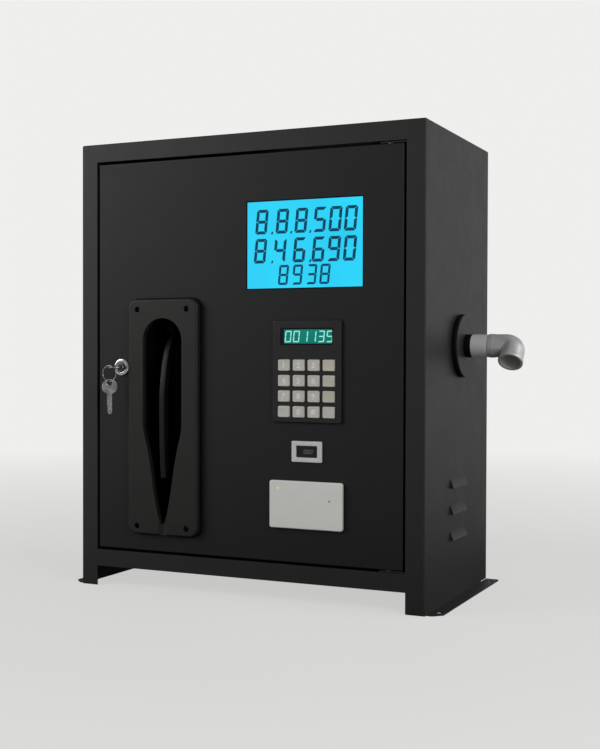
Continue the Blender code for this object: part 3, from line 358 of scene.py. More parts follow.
def piece(name, solid, surface, body, nodes=(), ease=0.0, angle=30):
    """The solid as a named piece that rides on a body and may stand for CAD nodes."""
    bmesh.ops.transform(solid, matrix=TO_ROW, verts=solid.verts)
    made = plain_object(name, solid)
    made.data.materials.append(surface)
    made.data.shade_smooth()
    if not ease:
        made.data.set_sharp_from_angle(angle=math.radians(angle))
    ease_edges(made, ease, angle, keep_sharp=True)
    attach(made, body)
    if nodes:
        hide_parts(*nodes)
    return made


# Materials.


def add_node(tree, kind, inputs, **settings):
    """A new shader node. inputs gives each socket a value, or another node's output to feed it."""
    made = tree.nodes.new("ShaderNode" + kind)
    for name, value in settings.items():
        setattr(made, name, value)
    for socket, value in inputs.items():
        if isinstance(value, bpy.types.NodeSocket):
            tree.links.new(value, made.inputs[socket])
        else:
            made.inputs[socket].default_value = value
    return made


class Shading:
    """A Principled material with the nodes that the surfaces here share."""

    def __init__(self, name, colour, roughness, metallic=0.0, gloss=0.5):
        self.material = bpy.data.materials.new(name)
        self.material.use_nodes = True
        self.tree = self.material.node_tree
        self.shader = self.tree.nodes["Principled BSDF"]
        self.colour = (*colour, 1.0)
        self.roughness = roughness
        self.shader.inputs["Base Color"].default_value = self.colour
        self.shader.inputs["Roughness"].default_value = roughness
        self.shader.inputs["Metallic"].default_value = metallic
        self.shader.inputs["Specular IOR Level"].default_value = gloss
        self.place = self.add("TexCoord", {}).outputs["Object"]

    def add(self, kind, inputs, **settings):
        return add_node(self.tree, kind, inputs, **settings)

    def feed(self, socket, output):
        self.tree.links.new(output, self.shader.inputs[socket])

    def noise(self, size, detail=3.0, stretch=(1.0, 1.0, 1.0)):
        """Noise whose cells are size millimetres across, drawn out along an axis by the stretch."""
        mapping = self.add("Mapping", {"Vector": self.place, "Scale": [1 / part for part in stretch]})
        cells = {"Vector": mapping.outputs["Vector"], "Scale": 1 / (size * MM), "Detail": detail}
        return self.add("TexNoise", cells).outputs["Fac"]

    def ranged(self, value, low, high, start=0.3, end=0.7):
        """A value between start and end, carried over to between low and high."""
        ends = {"From Min": start, "From Max": end, "To Min": low, "To Max": high}
        return self.add("MapRange", {"Value": value, **ends}).outputs["Result"]

    def mixed(self, factor, first, second):
        """A colour between two, each a colour or a node's output."""
        colours = []
        for colour in (first, second):
            fed = isinstance(colour, bpy.types.NodeSocket)
            colours.append(colour if fed else (*colour[:3], 1.0))
        return self.add("Mix", {0: factor, 6: colours[0], 7: colours[1]}, data_type="RGBA").outputs[2]

    def mottled(self, amount, size=30.0):
        """Lighter and darker patches, and fine specks, in the base colour."""
        dark = [part * (1 - amount) for part in self.colour[:3]]
        light = [part * (1 + amount) for part in self.colour[:3]]
        patches = self.ranged(self.noise(size), 0.0, 1.0)
        broad = self.mixed(patches, dark, light)
        specks = self.ranged(self.noise(size / 25, 2.0), 0.0, 0.5, 0.5, 0.8)
        self.base = self.mixed(specks, broad, light)
        self.feed("Base Color", self.base)
        return self

    def uneven(self, spread, size=18.0, stretch=(1.0, 1.0, 1.0)):
        """Roughness that drifts over the surface."""
        value = self.noise(size, 4.0, stretch)
        self.feed("Roughness", self.ranged(value, self.roughness - spread, self.roughness + spread))
        return self

    def grained(self, size, depth, strength=0.5, stretch=(1.0, 1.0, 1.0)):
        """A fine relief, depth millimetres deep."""
        relief = {"Strength": strength, "Distance": depth * MM, "Height": self.noise(size, 3.0, stretch)}
        self.feed("Normal", self.add("Bump", relief).outputs["Normal"])
        return self

    def painted_edge_highlight(self, colour, reach=0.9, amount=0.6):
        """A painted highlight along the edges: a lighter line, broken up by noise, where light would catch
        them.
        """
        bevel = self.add("Bevel", {"Radius": reach * MM}, samples=4)
        shape = self.add("NewGeometry", {})
        normals = {0: bevel.outputs["Normal"], 1: shape.outputs["Normal"]}
        dot = self.add("VectorMath", normals, operation="DOT_PRODUCT")
        edge = self.ranged(dot.outputs["Value"], amount, 0.0, 0.86, 0.995)
        patches = self.ranged(self.noise(9.0), 0.25, 1.0)
        # Where the painted edge highlight shows: near the edges, in patches.
        highlight_share = self.add("Math", {0: edge, 1: patches}, operation="MULTIPLY")
        self.feed("Base Color", self.mixed(highlight_share.outputs["Value"], self.base, colour))
        return self

    def lit(self, colour, strength, spread=0.06, size=60.0):
        """Light from behind the surface, a little uneven."""
        dim = [part * (1 - spread) for part in colour]
        bright = [min(part * (1 + spread), 1.0) for part in colour]
        glow = self.mixed(self.ranged(self.noise(size, 1.0), 0.0, 1.0), dim, bright)
        self.feed("Emission Color", glow)
        self.shader.inputs["Emission Strength"].default_value = strength
        return self


def powder_coat(name, colour, edge, gloss=0.5):
    """Baked powder paint with a fine grain, and a painted highlight along its edges."""
    shading = Shading(name, colour, 0.46, gloss=gloss)
    shading.mottled(0.03, 45.0).uneven(0.025, 25.0).grained(1.3, 0.035, 0.3).painted_edge_highlight(edge, 1.1, 0.5)
    return shading.material


def moulded(name, colour, roughness, texture=0.9, depth=0.04, mottle=0.08, gloss=0.5, metallic=0.0):
    """Moulded plastic or rubber, or a cast metal. gloss is 0.5 for common plastic."""
    shading = Shading(name, colour, roughness, metallic, gloss)
    return shading.mottled(mottle, 22.0).uneven(0.06, 12.0).grained(texture, depth, 0.5).material


def polished(name, colour, roughness):
    """Plated metal: fine wiping scratches and a few dull patches."""
    shading = Shading(name, colour, roughness, 1.0)
    shading.mottled(0.05, 8.0).uneven(roughness * 0.5, 6.0).grained(0.5, 0.01, 0.25, (1.0, 1.0, 9.0))
    return shading.material


def satin_metal(name, colour, roughness, along, tarnish=0.12, bareness=1.0):
    """Metal with turning or brushing lines that run along the given stretch."""
    shading = Shading(name, colour, roughness, bareness)
    shading.mottled(tarnish, 14.0).uneven(0.08, 9.0, along).grained(0.35, 0.03, 0.35, along)
    return shading.material


# The third colour of each powder coat is its painted edge highlight.
cabinet_paint = powder_coat("cabinet_powder_coat", (0.021, 0.0205, 0.0195), (0.085, 0.083, 0.08), 0.36)
door_paint = powder_coat("door_powder_coat", (0.0125, 0.0125, 0.013), (0.05, 0.05, 0.052), 0.3)
plate_plastic = moulded("holster_plate_plastic", (0.0172, 0.0172, 0.0152), 0.42, 0.8, 0.05, gloss=0.33)
black_plastic = moulded("black_plastic", (0.014, 0.014, 0.0145), 0.4, gloss=0.4)
pocket_plastic = moulded("pocket_plastic", (0.002, 0.002, 0.0022), 0.5, 1.6, 0.03, gloss=0.1)
lever_plastic = moulded("lever_plastic", (0.007, 0.007, 0.0075), 0.4, 1.4, 0.03, gloss=0.25)
rubber = moulded("black_rubber", (0.0022, 0.0022, 0.0022), 0.66, 0.5, 0.05, gloss=0.15)
key_plastic = moulded("keycap_plastic", (0.69, 0.665, 0.6), 0.42, 0.45, 0.02, 0.05)
blank_key_plastic = moulded("blank_keycap_plastic", (0.66, 0.63, 0.52), 0.42, 0.45, 0.02, 0.05)
legend_ink = moulded("legend_ink", (0.97, 0.965, 0.94), 0.5, 0.4, 0.01, 0.04)
reader_plastic = moulded("reader_plastic", (0.93, 0.92, 0.87), 0.48, 0.7, 0.025, 0.015)
chrome = polished("lock_chrome", (0.9, 0.9, 0.91), 0.16)
plug_metal = polished("lock_plug_metal", (0.12, 0.12, 0.12), 0.3)
key_metal = polished("key_nickel", (0.62, 0.61, 0.59), 0.24)
bezel_metal = satin_metal("bezel_metal", (0.88, 0.88, 0.87), 0.36, (1.0, 1.0, 12.0), 0.05, 0.45)
pipe_steel = satin_metal("pipe_steel", (0.88, 0.875, 0.86), 0.36, (14.0, 1.0, 1.0), 0.04, 0.25)
elbow_steel = satin_metal("elbow_steel", (0.78, 0.78, 0.765), 0.36, (1.0, 1.0, 1.0), 0.05, 0.5)
zinc = satin_metal("zinc_plate", (0.55, 0.56, 0.57), 0.38, (1.0, 6.0, 6.0), 0.18)
cast_alloy = moulded("cast_alloy", (0.34, 0.35, 0.36), 0.5, 1.8, 0.2, 0.15, metallic=0.85)
brass = satin_metal("turned_brass", (0.62, 0.43, 0.18), 0.32, (1.0, 8.0, 8.0), 0.15)
# Its third colour is its painted edge highlight.
motor_paint = powder_coat("motor_enamel", (0.035, 0.06, 0.11), (0.2, 0.24, 0.3))
board_lacquer = moulded("board_lacquer", (0.015, 0.11, 0.045), 0.3, 2.5, 0.04, 0.2)
screw_black = satin_metal("blackened_screw", (0.012, 0.012, 0.012), 0.45, (1.0, 1.0, 1.0), 0.2)
faint_print = moulded("counter_ink", (0.2, 0.21, 0.21), 0.35, 0.6, 0.01, 0.1)


def display_glow():
    shading = Shading("display_backlight", (0.002, 0.05, 0.08), 0.24)
    return shading.mottled(0.05, 40.0).lit((0.02, 0.665, 1.0), 0.93).grained(0.6, 0.004, 0.2).material


def display_ink():
    """The dark bars of the digits, which let a little of the light behind them through."""
    shading = Shading("display_ink", (0.001, 0.01, 0.018), 0.5, gloss=0.15)
    return shading.mottled(0.1, 8.0).lit((0.0, 0.05, 0.1), 0.9, 0.1, 20.0).grained(0.6, 0.01, 0.3).material


def preset_glow():
    shading = Shading("preset_backlight", (0.0, 0.05, 0.04), 0.2)
    return shading.mottled(0.05, 20.0).lit((0.0, 0.2, 0.16), 0.8, 0.15, 30.0).material


def mint_glow():
    shading = Shading("preset_digits_glow", (0.04, 0.12, 0.1), 0.3)
    return shading.mottled(0.03, 8.0).lit((0.3, 0.87, 0.71), 0.95, 0.04).material


def led_glow():
    shading = Shading("indicator_glow", (0.05, 0.3, 0.03), 0.2)
    return shading.mottled(0.05, 1.0).lit((0.42, 0.72, 0.24), 0.75, 0.05, 1.0).material


def window_smoke():
    shading = Shading("counter_window", (0.006, 0.0065, 0.007), 0.16)
    return shading.mottled(0.1, 6.0).uneven(0.04, 5.0).grained(1.2, 0.003, 0.2).material


# Screws.

screw_meshes = {}


def screw_mesh(radius, height):
    """A pan head with a cross recess, its seat at the origin and its top towards +Z."""
    key = (radius, height)
    if key not in screw_meshes:
        profile = [(0.0, radius * 0.96)]
        for step in range(9):
            turn = math.pi / 2 * step / 8
            top = height * (0.25 + 0.75 * math.sin(turn))
            profile.append((top, radius * max(math.cos(turn), 0.04)))
        head = turned("Z", 0, 0, profile, count=32)
        arm, web = radius * 0.62, radius * 0.13
        depth = height * 0.35
        recess = [block(-u, -v, depth, u, v, height + 1) for u, v in ((arm, web), (web, arm))]
        made = plain_object("screw", cut(head, *recess))
        made.data.shade_smooth()
        made.data.set_sharp_from_angle(angle=math.radians(28))
        screw_meshes[key] = made.data
        bpy.data.objects.remove(made)
    return screw_meshes[key]


def add_screw(name, place, outward, radius, height, surface, slot, body, spin=0.0):
    mesh = screw_mesh(radius, height).copy()
    mesh.materials.append(surface)
    made = linked(name, mesh)
    facing = Vector(outward).to_track_quat("Z", "Y").to_matrix().to_4x4()
    made.data.transform(TO_ROW @ Matrix.Translation(Vector(place)) @ facing @ Matrix.Rotation(spin, 4, "Z"))
    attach(made, body)


# The cabinet's sheet metal.


def louvre(bottom):
    """One pressed hood on the right side, open below, and the hollow that is cut from it."""
    reach, height, wall = 4.7, 12.5, 1.3
    front, back = 101.0, 162.0
    top = bottom + height
    hood = [(HALF - wall, bottom), (HALF + reach, bottom), (HALF, top), (HALF - wall, top)]
    inside, outside = HALF - 3.0, HALF + 0.2
    lip, below, crown = bottom + 0.8, bottom - 1.0, top - 4.0
    hollow = [
        (inside, lip), (outside, lip), (outside, below),
        (HALF + reach - wall, below), (outside, crown), (inside, crown),
    ]
    solids = []
    for outline, inset in ((hood, 0.0), (hollow, wall)):
        rings = [[(x, y, z) for x, z in outline] for y in (front + inset, back - inset)]
        solids.append(lofted(rings))
    return solids


def foot_flange():
    corner, clipped, front, back = 11.0, 3.0, 6.0, 268.0
    inside, notch = HALF - 1.0, SEAM_Y - 1.6
    outline = [
        (inside, front), (FOOT_EDGE - corner, front), (FOOT_EDGE, front + corner),
        (FOOT_EDGE, back - clipped), (FOOT_EDGE - clipped, back), (HALF + 0.3, back),
        (HALF + 0.3, notch), (inside, notch),
    ]
    hole_x = (HALF + FOOT_EDGE) / 2 + 1.0
    return slab("Z", 0, SHEET, outline, [circle(hole_x, y, 4.5, 32) for y in FOOT_HOLES_Y])


def cabinet_shell():
    """The welded front frame, sides, top and floor, as one coated skin of real thickness."""
    back = SEAM_Y - 0.6
    outer = eased(block(-HALF, 0, 0, HALF, back, HEIGHT), BEND, bends_at(lambda y: y < 1), 5)
    inner = HALF - SHEET
    over, bore = 5.0, 14.9
    rooms = [
        block(-inner, SHEET, FLOOR + SHEET, inner, back + over, HEIGHT - SHEET),
        block(-inner, SHEET, -over, inner, back + over, FLOOR),
        block(-STILE_EDGE, -over, -over, STILE_EDGE, SHEET + 0.2, FLOOR),
        block(-STILE_EDGE, -over, OPENING_BOTTOM, STILE_EDGE, SHEET + 0.2, OPENING_TOP),
        turned("X", OUTLET_Y, OUTLET_Z, [(inner - over, bore), (HALF + over, bore)]),
    ]
    shell = cut(outer, *rooms)
    fold_edge = STILE_EDGE + SHEET
    opening = rectangle(-STILE_EDGE, OPENING_BOTTOM, STILE_EDGE, OPENING_TOP)
    outline = rectangle(-fold_edge, OPENING_BOTTOM - SHEET, fold_edge, OPENING_TOP + SHEET)
    fold = slab("Y", 0.4, RETURN, outline, [opening])
    tray_end = block(-STILE_EDGE, back - 2, FLOOR, STILE_EDGE, 266, FLOOR + SHEET)
    shell = united(shell, fold, foot_flange(), mirrored(foot_flange()), tray_end)
    for bottom in LOUVRE_BOTTOMS:
        for side in (lambda solid: solid, mirrored):
            hood, hollow = louvre(bottom)
            shell = united(shell, side(hood))
            shell = cut(shell, side(hollow))
    return shell


def joggle_strip():
    """The stepped edge that the rear cover slides over."""
    play, thickness, base = 0.4, 1.4, 2
    outside, top_out = HALF - SHEET - play, HEIGHT - SHEET - play
    inside, top_in = outside - thickness, top_out - thickness
    outline = [
        (-outside, base), (-inside, base), (-inside, top_in), (inside, top_in),
        (inside, base), (outside, base), (outside, top_out), (-outside, top_out),
    ]
    return slab("Y", 238.0, 262.0, outline)


def rear_cover():
    outer = block(-HALF, SEAM_Y, 2, HALF, DEPTH, HEIGHT)
    outer = eased(outer, BEND, bends_at(lambda y: y > DEPTH - 1), 5)
    inner = HALF - SHEET
    over = 5
    rooms = [
        block(-inner, SEAM_Y - over, -over, inner, DEPTH - SHEET, HEIGHT - SHEET),
        block(-STILE_EDGE, SEAM_Y - over, -over, STILE_EDGE, DEPTH + over, FLOOR),
    ]
    for node, radius in (("cable_gland", 8.3), ("suction_pipe", 17.5)):
        rooms.append(turned("Y", *middle(node).xz, [(DEPTH - over, radius), (DEPTH + over, radius)]))
    vent_half, vent_low, vent_high, vent_corner = 2.5, 500, 560, 2.4
    for x in range(-75, 90, 15):
        vent = rounded(x - vent_half, vent_low, x + vent_half, vent_high, vent_corner, 5)
        rooms.append(slab("Y", DEPTH - over, DEPTH + over, vent))
    return cut(outer, *rooms)


def make_cabinet():
    shell_nodes = ("side_panel_left", "side_panel_right", "top_panel", "floor_tray")
    for name, solid, nodes, ease in (
        ("cabinet_shell", cabinet_shell(), shell_nodes, 0.35),
        ("rear_joggle", joggle_strip(), (), 0.2),
        ("rear_cover", rear_cover(), ("back_panel",), 0.35),
    ):
        piece(name, solid, cabinet_paint, "cabinet", nodes, ease=ease)
    column, rows = HALF - 11.0, (60.0, 220.0, 380.0, 540.0)
    places = [(x, z) for x in (-column, column) for z in rows]
    places += [(x, HEIGHT - 10.0) for x in (-150.0, 0.0, 150.0)]
    for index, (x, z) in enumerate(places):
        name = f"rear_screw_{index + 1}"
        add_screw(name, (x, DEPTH + 0.1, z), (0, 1, 0), 3.6, 2.2, zinc, "zinc", "cabinet", index * 0.7)


# The outlet.


def make_outlet():
    at = (OUTLET_Y, OUTLET_Z)
    gasket_high = span("outlet_gasket")[1]
    rim, out = gasket_high.y - OUTLET_Y, gasket_high.x
    collar_low, collar_high = span("outlet_collar")
    nipple_low, nipple_high = span("outlet_nipple")
    pipe = nipple_high.z - OUTLET_Z
    gasket_end = out - 2.8
    gasket = (HALF + 0.2, gasket_end, rim, pipe)
    flange = (gasket_end + 0.1, out - 0.2, rim - 0.4, pipe - 1.2)
    collar = (collar_low.x - 1.0, collar_high.x, pipe + 0.4, pipe - 1.4)
    for node, name, sizes, corner, count, surface, slot in (
        ("outlet_gasket", "outlet_gasket_ring", gasket, 0.7, 96, rubber, "black_rubber"),
        ("outlet_flange", "outlet_flange_plate", flange, 0.5, 96, cabinet_paint, "cabinet_paint"),
        ("outlet_collar", "outlet_collar_ring", collar, 0.8, 64, rubber, "black_rubber"),
    ):
        start, end, outer, bore = sizes
        ring = [(start, outer), (end, outer), (end, bore), (start, bore)]
        solid = turned("X", *at, eased_profile(ring, corner), bored=True, count=count)
        piece(name, solid, surface, "cabinet", (node,), angle=50)
    start, end = nipple_low.x, nipple_high.x
    shoulder, neck, bore = collar_high.x + 0.3, pipe - 1.8, pipe - 4.2
    profile = [
        (start, neck), (shoulder, neck), (shoulder, pipe), (end - 0.8, pipe),
        (end, pipe - 0.6), (end, bore), (start, bore),
    ]
    solid = turned("X", *at, profile, bored=True)
    piece("outlet_nipple_pipe", solid, pipe_steel, "cabinet", ("outlet_nipple",), angle=40)
    solid = elbow_solid()
    piece("outlet_elbow_bend", solid, elbow_steel, "cabinet", ("outlet_elbow",), angle=40)


def elbow_solid():
    """A cast elbow: a socket on the pipe, a short quarter bend and a mouth with a small bead."""
    start = Vector((HALF, OUTLET_Y, OUTLET_Z))
    side = Vector((1, 0, 0))
    drop = Vector((0, -math.sin(ELBOW_TURN), -math.cos(ELBOW_TURN)))
    across = side.cross(drop)
    outside, bore, bead, bend_radius = 15.0, 12.6, 16.0, 10.0
    tightest = 1.0  # radius of the bend's inner corner
    steps, count = 24, 64

    def ring(radius, place):
        """A ring of skin points. place turns a point's rise above the axis into (out, down)."""
        points = []
        for index in range(count):
            turn = math.tau * index / count
            out, down = place(radius * math.cos(turn))
            points.append(start + side * out + drop * down + across * radius * math.sin(turn))
        return points

    def socket(distance):
        return lambda rise: (distance, -rise)

    def tail(distance):
        return lambda rise: (MOUTH_OUT + rise, distance)

    def bend(step):
        angle = math.pi / 2 * step / steps

        def place(rise):
            reach = max(bend_radius + rise, tightest)
            out = MOUTH_OUT + rise - reach + reach * math.sin(angle)
            return out, reach - rise - reach * math.cos(angle)

        return place

    first = span("outlet_elbow")[0].x - HALF
    socket_profile = [
        (0.0, outside - 0.6), (0.4, outside + 0.1), (1.0, outside + 0.35), (7.5, outside + 0.35),
        (8.2, outside + 0.2), (9.0, outside),
    ]
    rings = [ring(radius, socket(first + along)) for along, radius in socket_profile]
    rings += [ring(outside, bend(step)) for step in range(steps + 1)]
    mouth_profile = [
        (6.4, outside), (5.6, outside + 0.25), (5.0, bead - 0.15), (4.4, bead), (1.0, bead),
        (0.4, bead - 0.15), (0.0, bead - 0.7), (0.0, bore + 0.7),
    ]
    rings += [ring(radius, tail(MOUTH_DROP - back)) for back, radius in mouth_profile]
    rings += [ring(bore, bend(step)) for step in range(steps, -1, -1)]
    rings.append(ring(bore, socket(first)))
    return lofted(rings, closed_loop=True)


# The works inside.


def fin_ring(axis_y, axis_z, base, height, low_x, high_x, count, thickness):
    """Cooling fins along a motor's barrel, left out where its terminal box and its cradle are."""
    fins = []
    root = 2  # how deep a fin's foot runs into the barrel
    for index in range(count):
        turn = math.tau * index / count
        down = math.cos(turn - math.radians(270))
        up = math.cos(turn - math.radians(90))
        if down > 0.5 or up > 0.72:
            continue
        fin = block(low_x, base - root, -thickness / 2, high_x, base + height, thickness / 2)
        spin = Matrix.Translation((0, axis_y, axis_z)) @ Matrix.Rotation(turn, 4, "X")
        fins.append(turned_by(fin, spin))
    return gathered(fins)


def make_motor():
    low, high = span("pump_motor")
    fins = fin_ring(OUTLET_Y, MOTOR_Z, 57.5, 3.2, low.x + 36, high.x - 24, 48, 1.6)
    piece("motor_fins", fins, motor_paint, "cabinet", ease=0.3)
    outer, inner = low.x - 0.6, low.x + 0.6
    rim_x, cowl_hole = low.x + 30, 30.0
    cowl = [(rim_x, 58.6), (low.x + 8, 56.0), (outer, 42.0), (outer, cowl_hole)]
    cowl += [(inner, cowl_hole), (low.x + 9, 54.6), (rim_x, 57.6)]
    solid = turned("X", OUTLET_Y, MOTOR_Z, eased_profile(cowl, 1.5), bored=True)
    piece("motor_fan_cowl", solid, motor_paint, "cabinet", angle=40)
    bars = []
    for radius in (8.0, 15.0, 22.0, 29.0):
        outline, hole = (circle(OUTLET_Y, MOTOR_Z, radius + extra) for extra in (1.0, 0.0))
        bars.append(slab("X", low.x - 0.9, low.x + 0.4, outline, [hole]))
    piece("motor_fan_guard", gathered(bars), zinc, "cabinet", ease=0.2)
    corners = [(x, y) for x in (-98, -42) for y in (126, 161)]
    for index, (x, y) in enumerate(corners):
        place = (x, y, high.z + 0.05)
        add_screw(f"terminal_screw_{index + 1}", place, (0, 0, 1), 2.6, 1.6, zinc, "zinc", "cabinet", index)


def bolt_circle(name, start, centre, across, radius, outward, size, twist):
    """Six bolts round a centre. across is the level direction that their angles are measured from."""
    count = 6
    for index in range(count):
        turn = math.tau * (index + start) / count
        spot = Vector(centre) + radius * (Vector(across) * math.cos(turn) + Vector((0, 0, math.sin(turn))))
        add_screw(f"{name}_{index + 1}", spot, outward, *size, zinc, "zinc", "cabinet", index * twist)


def make_pump_details():
    pump = (span("pump_head")[0].x + 60.05, OUTLET_Y, MOTOR_Z)
    bolt_circle("pump_bolt", 0.5, pump, (0, 1, 0), 50.0, (1, 0, 0), (3.8, 3.2), 0.5)
    meter = (METER_X, span("flow_meter")[0].y - 0.05, METER_Z)
    bolt_circle("meter_bolt", 0, meter, (1, 0, 0), 29.0, (0, -1, 0), (3.0, 2.4), 0.9)


def make_power_supply():
    """A vented cover over the supply's case, and the terminal strip at its foot."""
    low, high = span("power_supply")
    vent_half, vent_corner, margin = 1.6, 1.5, 14
    columns = range(int(low.x) + 28, int(high.x) - 20, 8)
    vents = [rounded(x - vent_half, 430, x + vent_half, 486, vent_corner, 4) for x in columns]
    front = slab("Y", low.y - 1.0, low.y - 0.1, rounded(low.x + margin, 401, high.x - margin, 499, 3), vents)
    piece("supply_cover", front, zinc, "cabinet", ease=0.2)
    blocks = []
    half, pitch, strip_low, strip_high = 4.8, 11, 403, 416
    for index in range(7):
        x = low.x + 40 + index * pitch
        outline = rounded(x - half, strip_low, x + half, strip_high, 0.8, 3)
        blocks.append(slab("Y", low.y - 7, low.y - 1.1, outline, [circle(x, 409, 2.4, 20)]))
    piece("supply_terminals", gathered(blocks), black_plastic, "cabinet", ease=0.25)


def dress(node, surface, ease):
    """A CAD node that keeps its shape gets its material and, where it has sharp corners, eased edges."""
    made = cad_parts[node]
    made.data.materials.clear()
    made.data.materials.append(surface)
    if ease:
        weld = made.modifiers.new("weld", "WELD")
        weld.merge_threshold = 0.02 * MM
        ease_edges(made, ease, 40, keep_sharp=False)


def dress_frame():
    for node, surface, ease in (
        ("pump_motor", motor_paint, 0.0),
        ("pump_head", cast_alloy, 0.0),
        ("flow_meter", cast_alloy, 0.0),
        ("solenoid_valve", brass, 0.0),
        ("power_supply", zinc, 0.0),
        ("motor_cradle", zinc, 0.3),
        ("hinge_bracket_upper", cabinet_paint, 0.2),
        ("hinge_bracket_lower", cabinet_paint, 0.2),
        ("hinge_pin_upper", zinc, 0.0),
        ("hinge_pin_lower", zinc, 0.0),
        ("suction_pipe", pipe_steel, 0.0),
        ("delivery_pipe", pipe_steel, 0.0),
        ("cable_gland", black_plastic, 0.0),
        ("nozzle_switch", black_plastic, 0.6),
        ("display_module", black_plastic, 0.5),
        ("control_board", board_lacquer, 0.15),
        ("lock_nut", zinc, 0.5),
        ("lock_cam", zinc, 0.3),
    ):
        dress(node, surface, ease)


# The door.


def pocket_half_width(z):
    """Half the width of the holster's opening at a height."""
    if z >= POCKET_CENTRE_Z:
        return math.sqrt(max(POCKET_RADIUS**2 - (z - POCKET_CENTRE_Z) ** 2, 0.0))
    for (low_z, low_width), (high_z, high_width) in zip(POCKET_KNOTS, POCKET_KNOTS[1:]):
        if z <= high_z:
            return low_width + (high_width - low_width) * (z - low_z) / (high_z - low_z)
    return POCKET_RADIUS


def softened_half_width(z):
    """The same, with the corners between its stretches smoothed."""
    if z > POCKET_CENTRE_Z - 6 or z < POCKET_TIP_Z + 6:
        return pocket_half_width(z)
    reach = 9.0
    samples = [pocket_half_width(z + reach * share) for share in (-1, -0.67, -0.33, 0, 0.33, 0.67, 1)]
    return sum(samples) / len(samples)


def pocket_outline(grow=0.0):
    """The opening's outline, anticlockwise as seen with X to the right and Z up."""
    straight_steps = 40
    rise = POCKET_CENTRE_Z - POCKET_TIP_Z
    levels = [POCKET_TIP_Z + rise * step / straight_steps for step in range(straight_steps)]
    right = [(HOLSTER_X + softened_half_width(z), z) for z in levels]
    crown = arc(HOLSTER_X, POCKET_CENTRE_Z, POCKET_RADIUS, 0, math.pi, 32)
    left = [(HOLSTER_X - softened_half_width(z), z) for z in reversed(levels)]
    outline = right + crown + left
    if not grow:
        return outline
    grown = []
    for index, (u, v) in enumerate(outline):
        before = Vector(outline[index - 1])
        after = Vector(outline[(index + 1) % len(outline)])
        along = (after - before).normalized()
        grown.append((u + along.y * grow, v - along.x * grow))
    return grown


def pocket_floor(z):
    if z >= POCKET_RAMP_Z:
        return POCKET_DEPTH
    along = (POCKET_RAMP_Z - z) / (POCKET_RAMP_Z - POCKET_TIP_Z + 4.0)
    return POCKET_DEPTH * math.sqrt(max(1 - along**2, 0.0))


def pocket_skin(outline, extra, front):
    """Rings from the rim to the back of the pocket, with a round turn into its floor."""
    rings = []
    for step in range(15):
        share = step / 14
        depth = math.sin(share * math.pi / 2) ** 0.9
        keep = 1.0 - 0.1 * share - 0.35 * max(0.0, share - 0.45) ** 2 / 0.3
        ring = []
        for x, z in outline:
            inner_z = z
            if z > POCKET_CENTRE_Z:
                inner_z = POCKET_CENTRE_Z + (z - POCKET_CENTRE_Z) * (keep * 0.3 + 0.7)
            y = front + (pocket_floor(z) + extra - front) * depth
            ring.append((HOLSTER_X + (x - HOLSTER_X) * keep, y, inner_z))
        rings.append(ring)
    return rings


def holster_pocket():
    outline = pocket_outline(-0.15)
    outer = pocket_outline(1.6)
    skin = bmesh.new()
    layers = []
    for shape, extra in ((outer, 1.8), (outline, 0.0)):
        rings = pocket_skin(shape, extra, -2.0)
        layers.append([[skin.verts.new(point) for point in ring] for ring in rings])
    count = len(outline)
    outer_rows, inner_rows = layers
    bands = list(zip(outer_rows, outer_rows[1:])) + list(zip(inner_rows, inner_rows[1:]))
    bands.append((inner_rows[0], outer_rows[0]))
    for first, second in bands:
        for index in range(count):
            after = (index + 1) % count
            skin.faces.new((first[index], first[after], second[after], second[index]))
    for back in (outer_rows[-1], inner_rows[-1]):
        for index in range(count // 2 - 1):
            far = count - 1 - index
            skin.faces.new((back[index], back[index + 1], back[far - 1], back[far]))
    bmesh.ops.recalc_face_normals(skin, faces=skin.faces)
    return skin


def plate_outline(grow=0.0):
    return around(PLATE_LOW, PLATE_HIGH, grow, PLATE_CORNER + grow, 10)


def holster_face():
    front = PLATE_LOW.y
    plate = slab("Y", front, PLATE_HIGH.y, plate_outline(), [pocket_outline()])

    def on_front(first, second):
        return max(first.y, second.y) < front + 0.01

    def on_rim(first, second):
        inside = all(
            PLATE_LOW.x + 20 < point.x < PLATE_HIGH.x - 10
            and PLATE_LOW.z + 8 < point.z < PLATE_HIGH.z - 8
            for point in (first, second)
        )
        return on_front(first, second) and inside

    plate = eased(plate, 1.1, on_rim, 3)
    plate = eased(plate, 2.8, lambda a, b: on_front(a, b) and not on_rim(a, b), 5)
    tools = [slab("Y", front - 1, front + 4.0, circle(x, z, 3.9, 28)) for x, z in screw_places()]
    groove_radius, groove_depth, narrowing = 15.0, 1.9, 1.2
    start_z, length, steps = POCKET_TIP_Z - 8, 20, 8
    profile = [(PLATE_LOW.z - 2, groove_radius)]
    for step in range(steps + 1):
        share = step / steps
        profile.append((start_z + length * share, groove_radius - narrowing * share**3))
    groove_y = front - groove_radius + groove_depth
    tools.append(turned("Z", HOLSTER_X + 2.0, groove_y, profile))
    return cut(plate, *tools)


def screw_places():
    columns = (PLATE_LOW.x + 14.5, PLATE_HIGH.x - 16.5)
    rows = (PLATE_HIGH.z - 13.5, PLATE_LOW.z + 11.0)
    return [(x, z) for x in columns for z in rows]


